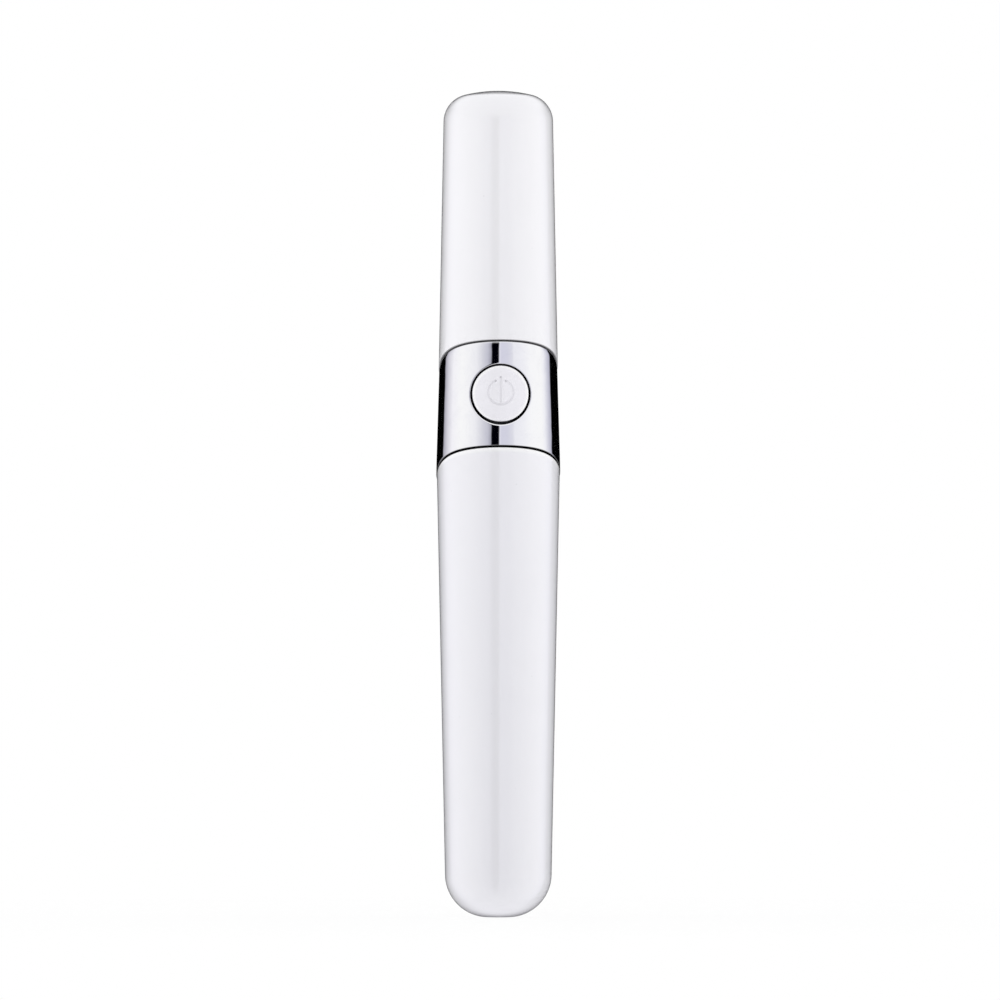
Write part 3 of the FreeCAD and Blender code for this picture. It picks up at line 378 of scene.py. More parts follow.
# A metal's skin. Grain is so many marks to a millimetre, across and along the wand, and Wiped is
# handling. Height is in millimetres: the grain, and the slow wave that bends a polished reflection.
wiped_scale = 0.22
metal_skin, given, out = new_group(
    "metal_skin",
    {"Grain Across": 1.0, "Grain Along": 40.0, "Wave Size": 4.0, "Wave Depth": 0.0, "Grain Depth": 0.0},
    ["Grain", "Wiped", "Height"])
place = place_in_mm(metal_skin)
stretch = joined(given["Grain Across"], given["Grain Across"], given["Grain Along"])
grain = noise(combine("MULTIPLY", place, stretch), 1.0, 4.0, roughness=0.7)
wiped = noise(place, wiped_scale, 6.0, roughness=0.65, distortion=1.2)
wave = noise(place, calculate("DIVIDE", 1.0, given["Wave Size"]), 1.0)
waves = times(wave, given["Wave Depth"])
fill(out, {"Grain": grain,
           "Wiped": fade_in(wiped, 0.42, 0.7),
           "Height": calculate("MULTIPLY_ADD", grain, given["Grain Depth"], waves)})


def bare_metal(name, tone, shade, smooth, brushed, **skin_numbers):
    """Bare or plated metal: roughness runs from smooth to brushed with the grain and wipe marks."""
    finish, shader, skin = new_finish(name, metal_skin, **skin_numbers)
    marks = calculate("MULTIPLY_ADD", skin["Wiped"], 0.4, skin["Grain"], clamp=True)
    colour = with_painted_shading(mix(skin["Wiped"], tone, shade))
    cover(shader, colour, marks, smooth, brushed, skin["Height"], Metallic=1.0)
    return finish


contact_nickel = bare_metal("contact_nickel_plate", (0.66, 0.63, 0.57), (0.55, 0.52, 0.46), 0.16, 0.42,
                            Grain_Across=9.0, Grain_Along=0.6, Grain_Depth=0.006)
dress("negative_contact", contact_nickel)
dress("positive_contact", contact_nickel)


# Battery spring -------------------------------------------------------
# Wound from nickel-plated steel wire in a plain cylinder, with its end turns closed so that both
# stand flat, and spot-welded to the minus plate.

coil_r = 3.3
wire_r = 0.3
coil_turns = 4.0
turn_steps = 40
wire_steps = 12
sharp_turn = math.radians(38)


def new_geometry(name, inputs):
    """A geometry tree with named inputs, the outputs of its input node, and its output node."""
    tree = bpy.data.node_groups.new(name, "GeometryNodeTree")
    tree.interface.new_socket("Start", in_out="INPUT", socket_type="NodeSocketGeometry")
    for word, kind in inputs.items():
        tree.interface.new_socket(word, in_out="INPUT", socket_type="NodeSocket" + kind)
    tree.interface.new_socket("Made", in_out="OUTPUT", socket_type="NodeSocketGeometry")
    return tree, tree.nodes.new("NodeGroupInput").outputs, tree.nodes.new("NodeGroupOutput")


def end_with(shape, finish, way_out):
    """Every tree ends the same way: smooth faces, real geometry and its material."""
    tree = shape.id_data
    smooth = made_by(tree, "GeometryNodeSetShadeSmooth", {"Geometry": shape})
    real = made_by(tree, "GeometryNodeRealizeInstances", {"Geometry": smooth})
    fill(way_out, {0: made_by(tree, "GeometryNodeSetMaterial", {"Geometry": real, "Material": finish})})


def close_up(name, mesh):
    """Merges a mesh's doubles, turns its faces outward, marks its sharp edges and makes its object."""
    skin = bmesh.new()
    skin.from_mesh(mesh)
    bmesh.ops.remove_doubles(skin, verts=skin.verts, dist=1e-7)
    bmesh.ops.recalc_face_normals(skin, faces=skin.faces)
    if skin.calc_volume(signed=True) < 0:
        bmesh.ops.reverse_faces(skin, faces=skin.faces)
    for face in skin.faces:
        face.smooth = True
    for edge in skin.edges:
        edge.smooth = len(edge.link_faces) == 2 and edge.calc_face_angle() < sharp_turn
    skin.to_mesh(mesh)
    skin.free()
    piece = bpy.data.objects.new(name, mesh)
    scene.collection.objects.link(piece)
    return piece


def grow(name, tree, start, **numbers):
    """Runs a geometry tree on a start mesh and keeps what it makes as a plain mesh object."""
    seed = bpy.data.objects.new(name + "_start", start)
    scene.collection.objects.link(seed)
    maker = seed.modifiers.new("grow", "NODES")
    maker.node_group = tree
    for socket in tree.interface.items_tree:
        word = socket.name.replace(" ", "_")
        if word in numbers:
            maker[socket.identifier] = numbers[word]
    mesh = bpy.data.meshes.new_from_object(seed.evaluated_get(bpy.context.evaluated_depsgraph_get()))
    mesh.name = name
    seed.modifiers.remove(maker)
    bpy.data.objects.remove(seed)
    return close_up(name, mesh)


closed_spring, given, way_out = new_geometry("closed_spring", {
    "Turns": "Float", "Coil Radius": "Float", "Wire Radius": "Float", "Foot": "Float", "Rise": "Float",
    "Finish": "Material"})
spiral = made_by(closed_spring, "GeometryNodeCurveSpiral", {
    "Resolution": turn_steps, "Rotations": given["Turns"], "Start Radius": given["Coil Radius"],
    "End Radius": given["Coil Radius"], "Height": 0.0})
along = add_node(closed_spring, "GeometryNodeSplineParameter").outputs["Factor"]
eased = made_by(closed_spring, "ShaderNodeMapRange", {"Value": along}, interpolation_type="SMOOTHSTEP")
lift = joined(0.0, 0.0, calculate("MULTIPLY_ADD", eased, given["Rise"], given["Foot"]))
coil = made_by(closed_spring, "GeometryNodeSetPosition", {"Geometry": spiral, "Offset": lift})
wire = made_by(closed_spring, "GeometryNodeCurvePrimitiveCircle", {
    "Resolution": wire_steps, "Radius": given["Wire Radius"]})
end_with(made_by(closed_spring, "GeometryNodeCurveToMesh", {
    "Curve": coil, "Profile Curve": wire, "Fill Caps": True}), given["Finish"], way_out)
spring_low, spring_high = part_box("battery_spring")
spring = grow("battery_spring_coil", closed_spring, bpy.data.meshes.new("spring_start"),
              Turns=coil_turns, Coil_Radius=coil_r * MM, Wire_Radius=wire_r * MM,
              Foot=spring_low.z + wire_r * MM, Rise=spring_high.z - spring_low.z - 2 * wire_r * MM,
              Finish=bare_metal("spring_nickel_wire", (0.70, 0.67, 0.61), (0.58, 0.55, 0.49), 0.14, 0.32,
                                Grain_Across=3.0, Grain_Along=3.0, Grain_Depth=0.002))
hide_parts("battery_spring")
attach(spring, "handle")


# Battery cell ---------------------------------------------------------
# One AAA cell: a nickel-plated steel can in a shrunk printed film, which is blue with a silver band
# at the plus end, a white line, and a plus and a minus sign. The film laps a little over both ends.

cell_r = 5.25
film_lap_r = 4.5
film_thick = 0.05
plus_up = 50.0
minus_up = 24.0
sign_long = 1.5
sign_thin = 0.35
band_up = 54.6
line_up = band_up - 0.6
line_thin = 0.25


def within(number, middle, half):
    """1 where a number is within half of a middle, else 0."""
    return calculate("COMPARE", number, middle, half)


def square_sum(first, second):
    return calculate("MULTIPLY_ADD", first, first, both(second, second))


def spot_on(shader):
    """The across, back and up of a point in millimetres."""
    return split(place_in_mm(shader.id_data))


film, shader, skin = new_finish("battery_printed_film", metal_skin, Grain_Across=0.4, Grain_Along=0.4,
                                Wave_Size=3.0, Wave_Depth=0.012)
spot = spot_on(shader)
out_r = calculate("SQRT", square_sum(spot[0], spot[1]))
round_it = calculate("ARCTAN2", spot[0], times(spot[1], -1.0))
round_it = times(round_it, cell_r)
stem = both(within(round_it, 0.0, sign_thin), within(spot[2], plus_up, sign_long))
arm = both(within(round_it, 0.0, sign_long), within(spot[2], plus_up, sign_thin))
dash = both(within(round_it, 0.0, sign_long), within(spot[2], minus_up, sign_thin))
printed = either(either(stem, arm), either(dash, within(spot[2], line_up, line_thin)))
silver = calculate("GREATER_THAN", spot[2], band_up)
blue = mix(skin["Wiped"], (0.012, 0.045, 0.16), (0.016, 0.055, 0.18))
colour = mix(silver, mix(printed, blue, (0.78, 0.78, 0.78)), (0.52, 0.53, 0.55))
bare = calculate("LESS_THAN", out_r, film_lap_r)
lapped = calculate("GREATER_THAN", out_r, film_lap_r)
cover(shader, mix(bare, colour, (0.62, 0.60, 0.56)), skin["Wiped"], 0.16, 0.30,
      calculate("MULTIPLY_ADD", lapped, film_thick, skin["Height"]),
      Metallic=either(bare, both(silver, times(skin["Grain"], 0.9))))
dress("battery_cell", film)


# Circuit board --------------------------------------------------------
# Glass-epoxy laminate under green solder mask, with copper tracks and tinned pads, held to the web by
# two screws. Its cut edges show the bare laminate.

board_front = 3.0
board_back = 2.0
copper_thick = 0.03
# Across and up of both ends of each track in millimetres, and half its width
tracks = [
    (0.0, 68.2, 0.0, 71.5, 0.55), (0.0, 71.5, 2.9, 74.4, 0.55), (2.9, 74.4, 2.9, 77.4, 0.55),
    (-3.9, 73.5, -3.9, 76.0, 0.2), (-3.9, 76.0, -4.5, 76.8, 0.2), (-1.3, 73.5, -1.3, 75.6, 0.2),
    (-1.3, 75.6, 0.6, 77.5, 0.2), (1.3, 73.5, 1.3, 71.0, 0.2), (3.9, 73.5, 4.9, 74.5, 0.2),
    (4.9, 74.5, 4.9, 83.4, 0.2), (0.6, 81.1, 2.0, 82.5, 0.2), (2.0, 82.5, 2.0, 88.7, 0.2),
    (-4.5, 81.1, -4.5, 86.0, 0.3), (-4.5, 86.0, -2.6, 87.9, 0.3), (-2.6, 87.9, -2.6, 88.9, 0.3),
    (-4.4, 90.0, -4.4, 95.6, 0.45), (4.4, 88.6, 4.4, 95.6, 0.45), (1.8, 94.6, 1.8, 95.6, 0.4),
    (-1.8, 94.6, -1.8, 95.6, 0.4),
]
# Across and up of each pad, and half its width and half its height
pads = [
    (0.0, 68.0, 2.2, 0.9), (-3.8, 69.5, 1.6, 1.6), (3.8, 85.8, 1.6, 1.6), (-4.4, 95.2, 0.6, 0.9),
    (4.4, 95.2, 0.6, 0.9), (-1.8, 95.2, 0.6, 0.9), (1.8, 95.2, 0.6, 0.9),
]
track_words = ["From Across", "From Up", "To Across", "To Up", "Half Width"]
track, given, out = new_group(
    "track", dict.fromkeys(["Across", "Up"] + track_words, 0.0), ["Inside"])
start = joined(given["From Across"], given["From Up"], 0.0)
run = combine("SUBTRACT", joined(given["To Across"], given["To Up"], 0.0), start)
off = combine("SUBTRACT", joined(given["Across"], given["Up"], 0.0), start)
share = calculate("DIVIDE", combine("DOT_PRODUCT", off, run), combine("DOT_PRODUCT", run, run), clamp=True)
beside = combine("LENGTH", combine("SUBTRACT", off, combine("SCALE", run, share)))
inside = minus(given["Half Width"], beside)
fill(out, {"Inside": calculate("MULTIPLY_ADD", inside, 12.0, 0.5, clamp=True)})

green, shader, skin = new_finish("board_green_mask", moulded_skin, Ripple_Size=0.5, Ripple_Depth=0.002,
                                 Speck_Size=0.25)
spot = spot_on(shader)
copper = functools.reduce(either, [
    made_by(shader.id_data, "ShaderNodeGroup",
            {"Across": spot[0], "Up": spot[2], **dict(zip(track_words, numbers))}, node_tree=track)
    for numbers in tracks])
tinned = functools.reduce(either, [
    both(within(spot[0], across, half_across), within(spot[2], up, half_up))
    for across, up, half_across, half_up in pads])
from_middle = calculate("ABSOLUTE", calculate("ADD", spot[1], (board_front + board_back) / 2))
face = calculate("GREATER_THAN", from_middle, (board_front - board_back) / 2 - 0.02)
weave = add_node(shader.id_data, "ShaderNodeTexWave", {
    "Vector": place_in_mm(shader.id_data), "Scale": 1.6, "Distortion": 1.5}).outputs["Fac"]
edge = mix(weave, (0.42, 0.36, 0.16), (0.55, 0.48, 0.25))
mask = mix(skin["Cloud"], (0.008, 0.075, 0.025), (0.010, 0.090, 0.030))
mask = mix(copper, mask, (0.02, 0.16, 0.05))
metal = both(tinned, face)
cover(shader, mix(metal, mix(face, edge, mask), (0.68, 0.68, 0.66)), face, 0.7, 0.24,
      calculate("MULTIPLY_ADD", either(copper, tinned), copper_thick, skin["Height"]), Metallic=metal)
dress("circuit_board", green)


# Solder joints --------------------------------------------------------
# A bead of tin where each of the four leads meets its pad on the board's top edge, melted there by
# hand and drawn up the lead.

# Across, back and up in millimetres, and size
joints_at = [
    (-1.8, -2.5, 95.9, 0.62), (1.8, -2.5, 95.9, 0.62), (-4.4, -2.5, 95.9, 0.56), (4.4, -2.5, 95.9, 0.56),
]
bead_waist = 0.86
bead_taper = -0.32
bead_least = 0.9
solder_beads, given, way_out = new_geometry(
    "solder_beads", {"Seed": "Int", "Unevenness": "Float", "Finish": "Material"})
bead = made_by(solder_beads, "GeometryNodeMeshIcoSphere", {"Radius": 1.0, "Subdivisions": 4})
bead_place = made_by(solder_beads, "GeometryNodeInputPosition")
slender = calculate("MULTIPLY_ADD", split(bead_place)[2], bead_taper, bead_waist)
blob = made_by(solder_beads, "GeometryNodeSetPosition", {
    "Geometry": bead, "Position": combine("SCALE", bead_place, slender)})
chance = add_node(solder_beads, "FunctionNodeRandomValue", {
    "Min": bead_least, "Max": calculate("ADD", given["Unevenness"], 1.0), "Seed": given["Seed"]},
    data_type="FLOAT").outputs["Value"]
bead_size = made_by(solder_beads, "GeometryNodeInputNamedAttribute", {"Name": "size"}, data_type="FLOAT")
end_with(made_by(solder_beads, "GeometryNodeInstanceOnPoints", {
    "Points": given["Start"], "Instance": blob, "Scale": times(bead_size, chance)}),
    given["Finish"], way_out)


def points_mesh(name, spots, faces=(), **columns):
    """A mesh of millimetre points, with a number attribute from each column."""
    mesh = bpy.data.meshes.new(name)
    mesh.from_pydata([[number * MM for number in spot] for spot in spots], [], faces)
    for word, numbers in columns.items():
        mesh.attributes.new(word, "FLOAT", "POINT").data.foreach_set("value", numbers)
    return mesh


solder = grow("solder_joints", solder_beads,
              points_mesh("solder_start", [joint[:3] for joint in joints_at],
                          size=[joint[3] * MM for joint in joints_at]),
              Seed=3, Unevenness=0.06,
              Finish=bare_metal("solder_tin", (0.60, 0.60, 0.60), (0.48, 0.48, 0.47), 0.18, 0.38,
                                Grain_Across=2.0, Grain_Along=2.0, Wave_Size=0.3, Wave_Depth=0.02))
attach(solder, "handle")


# Board parts ----------------------------------------------------------
# The controller in black epoxy with tinned legs, the boost coil of copper wire on a ferrite drum, and
# four ceramic capacitors with tinned ends, all soldered on the board's front.

chip_low, chip_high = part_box("controller_chip")
chip_half = 1.95
dot_in = 0.7
dot_squared = 0.1
dot_deep = 0.05
chip_middle = (chip_low.x + chip_high.x) / 2 / MM
chip, shader, skin = new_finish("chip_black_epoxy", moulded_skin, Ripple_Size=0.08, Ripple_Depth=0.01,
                                Speck_Size=0.2)
spot = spot_on(shader)
from_middle = calculate("ABSOLUTE", minus(spot[0], chip_middle))
legs = calculate("GREATER_THAN", from_middle, chip_half + 0.01)
dot_x = minus(spot[0], chip_middle - chip_half + dot_in)
dot_z = minus(spot[2], chip_high.z / MM - dot_in)
dot = calculate("LESS_THAN", square_sum(dot_x, dot_z), dot_squared)
epoxy = mix(skin["Cloud"], (0.010, 0.010, 0.011), (0.016, 0.016, 0.017))
epoxy = mix(dot, epoxy, (0.06, 0.06, 0.06))
cover(shader, mix(legs, epoxy, (0.66, 0.66, 0.64)), either(legs, dot), 0.6, 0.28,
      calculate("MULTIPLY_ADD", dot, -dot_deep, skin["Height"]), Metallic=legs)
dress("controller_chip", chip)

winding_front = 4.25
winding_back = 3.6
wire_pitch = 0.16
wire_relief = 0.8
coil_finish, shader, skin = new_finish("coil_ferrite_and_copper", moulded_skin, Ripple_Size=0.12,
                                       Ripple_Depth=0.012, Speck_Size=0.25)
spot = spot_on(shader)
wound = within(spot[1], -(winding_front + winding_back) / 2, (winding_front - winding_back) / 2)
thread = calculate("PINGPONG", spot[1], wire_pitch / 2)
lacquer = mix(skin["Cloud"], (0.45, 0.13, 0.04), (0.32, 0.08, 0.025))
ferrite = mix(skin["Cloud"], (0.014, 0.014, 0.015), (0.024, 0.024, 0.025))
cover(shader, mix(wound, ferrite, lacquer), wound, 0.62, 0.3,
      calculate("MULTIPLY_ADD", both(thread, wound), wire_relief, skin["Height"]),
      Metallic=times(wound, 0.85))
dress("boost_inductor", coil_finish)

capacitor_pitch = 2.6
capacitor_body = 0.55
tin_thick = 0.03
ceramic, shader, skin = new_finish("capacitor_tan_ceramic", moulded_skin, Ripple_Size=0.2,
                                   Ripple_Depth=0.008, Speck_Size=0.2)
from_middle = calculate("WRAP", calculate("ABSOLUTE", spot_on(shader)[0]), capacitor_pitch, 0.0)
from_middle = calculate("ABSOLUTE", minus(from_middle, capacitor_pitch / 2))
ends = calculate("GREATER_THAN", from_middle, capacitor_body)
body_tan = mix(skin["Cloud"], (0.30, 0.17, 0.08), (0.22, 0.12, 0.055))
cover(shader, mix(ends, body_tan, (0.66, 0.66, 0.65)), skin["Cloud"], 0.34, 0.48,
      calculate("MULTIPLY_ADD", ends, tin_thick, skin["Height"]), Metallic=ends)
dress("capacitors", ceramic)

dress("board_screws", bare_metal(
    "screw_zinc_plate", (0.60, 0.60, 0.61), (0.52, 0.52, 0.50), 0.22, 0.45,
    Grain_Across=6.0, Grain_Along=6.0, Grain_Depth=0.004))


# Tact switch ----------------------------------------------------------
# A black nylon base under a stamped steel cover that is folded round it, soldered flat on the board's
# front, with a nylon plunger that the button's post presses.

dress("tact_switch_base", moulding(
    "switch_black_nylon", (0.011, 0.011, 0.012), (0.018, 0.018, 0.019), 0.48, 0.62,
    Ripple_Size=0.12, Ripple_Depth=0.012))
dress("tact_switch_cover", bare_metal(
    "switch_stamped_steel", (0.58, 0.58, 0.57), (0.50, 0.50, 0.48), 0.20, 0.40,
    Grain_Across=0.8, Grain_Along=14.0, Grain_Depth=0.003))
dress("tact_switch_plunger", moulding(
    "plunger_black_nylon", (0.014, 0.014, 0.015), (0.022, 0.022, 0.023), 0.36, 0.5,
    Ripple_Size=0.15, Ripple_Depth=0.006))


# Motor ----------------------------------------------------------------
# A drawn steel can with a white nylon end cap, a ground shaft and a half-round weight of sintered
# tungsten that shakes the tip. It sits in a rubber boot, in a ribbed charcoal holder in the neck.

def rubber(name, tone, dust, **skin_numbers):
    """Moulded rubber or silicone: matt, with pale dust clinging to it."""
    finish, shader, skin = new_finish(name, moulded_skin, **skin_numbers)
    dusty = mix(times(skin["Cloud"], 0.6), tone, dust)
    cover(shader, mix(skin["Specks"], dusty, dust), skin["Cloud"], 0.5, 0.72, skin["Height"], IOR=1.43)
    return finish


dress("motor_can", bare_metal(
    "motor_drawn_steel", (0.56, 0.56, 0.56), (0.48, 0.48, 0.47), 0.2, 0.42,
    Grain_Across=5.0, Grain_Along=0.5, Grain_Depth=0.004))
dress("motor_end_cap", moulding(
    "motor_cap_nylon", (0.72, 0.71, 0.67), (0.66, 0.65, 0.60), 0.4, 0.55,
    Ripple_Size=0.2, Ripple_Depth=0.01))
dress("motor_shaft", bare_metal(
    "shaft_ground_steel", (0.66, 0.66, 0.66), (0.58, 0.58, 0.57), 0.10, 0.24,
    Grain_Across=1.0, Grain_Along=30.0, Grain_Depth=0.001))
dress("eccentric_weight", bare_metal(
    "weight_sintered_tungsten", (0.30, 0.30, 0.31), (0.24, 0.24, 0.25), 0.42, 0.62,
    Grain_Across=14.0, Grain_Along=14.0, Grain_Depth=0.012))
dress("motor_boot", rubber(
    "boot_black_rubber", (0.013, 0.013, 0.013), (0.045, 0.044, 0.042), Ripple_Size=0.2,
    Ripple_Depth=0.012, Parting_Normal=(1.0, 0.0, 0.0), Parting_Place=0.0, Parting_Height=0.05))
dress("motor_holder", moulding(
    "holder_charcoal_abs", (0.036, 0.036, 0.039), (0.05, 0.05, 0.054), 0.46, 0.6, **eroded))


# Heater ---------------------------------------------------------------
# An alumina plate bonded behind the tip's slanted face, with a resistor track printed to and fro on its
# inner side, and a sensor bead dipped in black epoxy on it.

face_slant = math.radians(49)
track_pitch = 0.95
track_half = 0.17
track_reach = 2.45
rows_reach = 3.3
plate_half = 0.4
print_thick = 0.02
heater_low, heater_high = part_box("heater_plate")
alumina, shader, skin = new_finish("heater_alumina", moulded_skin, Ripple_Size=0.12, Ripple_Depth=0.01,
                                   Speck_Size=0.22)
spot = spot_on(shader)
back = minus(spot[1], (heater_low.y + heater_high.y) / 2 / MM)
up = minus(spot[2], (heater_low.z + heater_high.z) / 2 / MM)
slope = calculate("MULTIPLY_ADD", back, math.cos(face_slant), times(up, math.sin(face_slant)))
deep = calculate("MULTIPLY_ADD", back, math.sin(face_slant), times(up, -math.cos(face_slant)))
row_place = minus(calculate("WRAP", slope, track_pitch, 0.0), track_pitch / 2)
row = both(within(row_place, 0.0, track_half), within(spot[0], 0.0, track_reach + track_half))
rows_off = calculate("ROUND", calculate("DIVIDE", slope, track_pitch))
odd = calculate("ABSOLUTE", calculate("MODULO", rows_off, 2.0))
side = calculate("MULTIPLY_ADD", odd, -2.0, 1.0)
turn_back = within(both(spot[0], side), track_reach, track_half)
printed = both(either(row, turn_back), within(slope, 0.0, rows_reach))
printed = both(printed, calculate("GREATER_THAN", deep, plate_half - 0.05))
white = mix(skin["Cloud"], (0.78, 0.76, 0.71), (0.70, 0.68, 0.62))
cover(shader, mix(printed, white, (0.05, 0.05, 0.055)), printed, 0.55, 0.35,
      calculate("MULTIPLY_ADD", printed, print_thick, skin["Height"]))
dress("heater_plate", alumina)
dress("thermistor", moulding(
    "bead_black_epoxy", (0.012, 0.012, 0.013), (0.02, 0.02, 0.021), 0.2, 0.34,
    Ripple_Size=0.6, Ripple_Depth=0.02))


# Massage tip and its collar -------------------------------------------
# A zinc-alloy casting, turned, polished and nickel plated. Its slanted face warms the skin. A soft
# grey silicone collar keeps its heat from the head.

dress("massage_tip", bare_metal(
    "tip_polished_nickel", (0.80, 0.79, 0.77), (0.74, 0.73, 0.71), 0.07, 0.20,
    Grain_Across=0.4, Grain_Along=16.0, Grain_Depth=0.0009, Wave_Size=3.0, Wave_Depth=0.004))
dress("tip_collar", rubber(
    "collar_grey_silicone", (0.52, 0.52, 0.54), (0.60, 0.60, 0.61), Ripple_Size=0.4, Ripple_Depth=0.008))


# Leads ----------------------------------------------------------------
# Stranded wire in silicone rubber: red and black from the motor, white from the heater, and black from
# the return strip to the board.

for node, word, tone, dust in (
        ("motor_lead_red", "red", (0.42, 0.012, 0.012), (0.50, 0.06, 0.05)),
        ("motor_lead_black", "black", (0.012, 0.012, 0.012), (0.05, 0.05, 0.05)),
        ("ground_lead", "ground", (0.014, 0.014, 0.014), (0.055, 0.055, 0.055)),
        ("heater_leads", "white", (0.70, 0.70, 0.67), (0.62, 0.61, 0.58))):
    dress(node, rubber("lead_%s_silicone" % word, tone, dust,
                       Ripple_Size=0.5, Ripple_Depth=0.015, Speck_Size=0.15))


# Head shell -----------------------------------------------------------
# The white ABS neck over the motor. Its spigot goes down through the ring's lip and is welded into the
# collar, and the cap slides over it.

dress("head_shell", moulding(
    "head_white_abs", (0.84, 0.835, 0.855), (0.82, 0.815, 0.835), 0.16, 0.26,
    Ripple_Size=2.0, Ripple_Depth=0.003, Speck_Size=0.3))


# Seals ----------------------------------------------------------------
# Black rubber rings in the grooves of the bulkhead and the neck. They grip the sleeve and the cap, and
# each shows the fine line of its mould at its waist.

for node in ("sleeve_o_ring", "neck_o_ring"):
    ring_low, ring_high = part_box(node)
    dress(node, rubber(node + "_black_rubber", (0.012, 0.012, 0.012), (0.04, 0.039, 0.038),
                       Ripple_Size=0.3, Ripple_Depth=0.01, Parting_Normal=(0.0, 0.0, 1.0),
                       Parting_Place=(ring_low.z + ring_high.z) / 2 / MM, Parting_Height=0.05))


# Trim ring ------------------------------------------------------------
# A moulded ABS band, chrome plated, with both edges cut on the wand's S-shaped seams and a round hole
# for the button at the front. Its thin lip turns in under the head's shoulder and is clamped there.

seam_slant = math.radians(35)
seam_arc = 30.4
lower_seam = 78.0
upper_seam = 96.4
ring_bottom_r = 10.9
ring_top_r = 10.2
ring_bore_r = 9.25
ring_lip_r = 8.4
ring_lip = 1.0
ring_edge = 0.15
ring_soft = 3.0
crown_height = 0.8
crown_depth = 0.1
hole_up = 91.7
hole_r = 5.24
hole_edge = 0.32
patch_turn = math.radians(42)
patch_across = 56
rest_across = 200
side_rows = 28
patch_rows = 20
edge_rows = 4
hole_rows = 5


def seam_rise(aside):
    """How far the seam climbs or falls at a distance from the wand's axis, seen from the side."""
    reach = seam_arc * math.sin(seam_slant) - aside
    return math.sqrt(seam_arc ** 2 - reach ** 2) - seam_arc * math.cos(seam_slant)


def seam(height, back):
    """The seam's height at a place in front of (back < 0) or behind the wand's axis."""
    return height - math.copysign(seam_rise(abs(back)), back)


ring_lean = (ring_bottom_r - ring_top_r) / (upper_seam + seam_rise(ring_bottom_r + 1) - lower_seam)


def quarter_rows(steps):
    """Sine and cosine of even steps round a quarter turn, after its start."""
    turns = [step / steps * math.pi / 2 for step in range(1, steps + 1)]
    return [(math.sin(turned), math.cos(turned)) for turned in turns]


def band_r(up):
    """The band tapers upward from just above the lower seam, with a soft start."""
    past = up - lower_seam
    if past < -ring_soft:
        return ring_bottom_r
    if past < ring_soft:
        return ring_bottom_r - ring_lean * (past + ring_soft) ** 2 / (4 * ring_soft)
    return ring_bottom_r - ring_lean * past


def crowned_r(turned, up):
    """The band's radius with its softly crowned upper edge."""
    below = seam(upper_seam, -band_r(up) * math.cos(turned)) - up
    share = min(max(1 - below / crown_height, 0), 1)
    return band_r(up) - crown_depth * share * share


def bore_r(turned, up):
    return ring_bore_r


def on_seam(radius_at, height, turned):
    """The (radius, height) of a seam at a bearing, on a skin whose radius may change with height."""
    up = height
    for _ in range(6):
        radius = radius_at(turned, up)
        up = seam(height, -radius * math.cos(turned))
    return radius, up


def crowded(steps):
    """Shares from 0 to 1 that crowd together at both ends."""
    return [(1 - math.cos(math.pi * step / steps)) / 2 for step in range(steps + 1)]


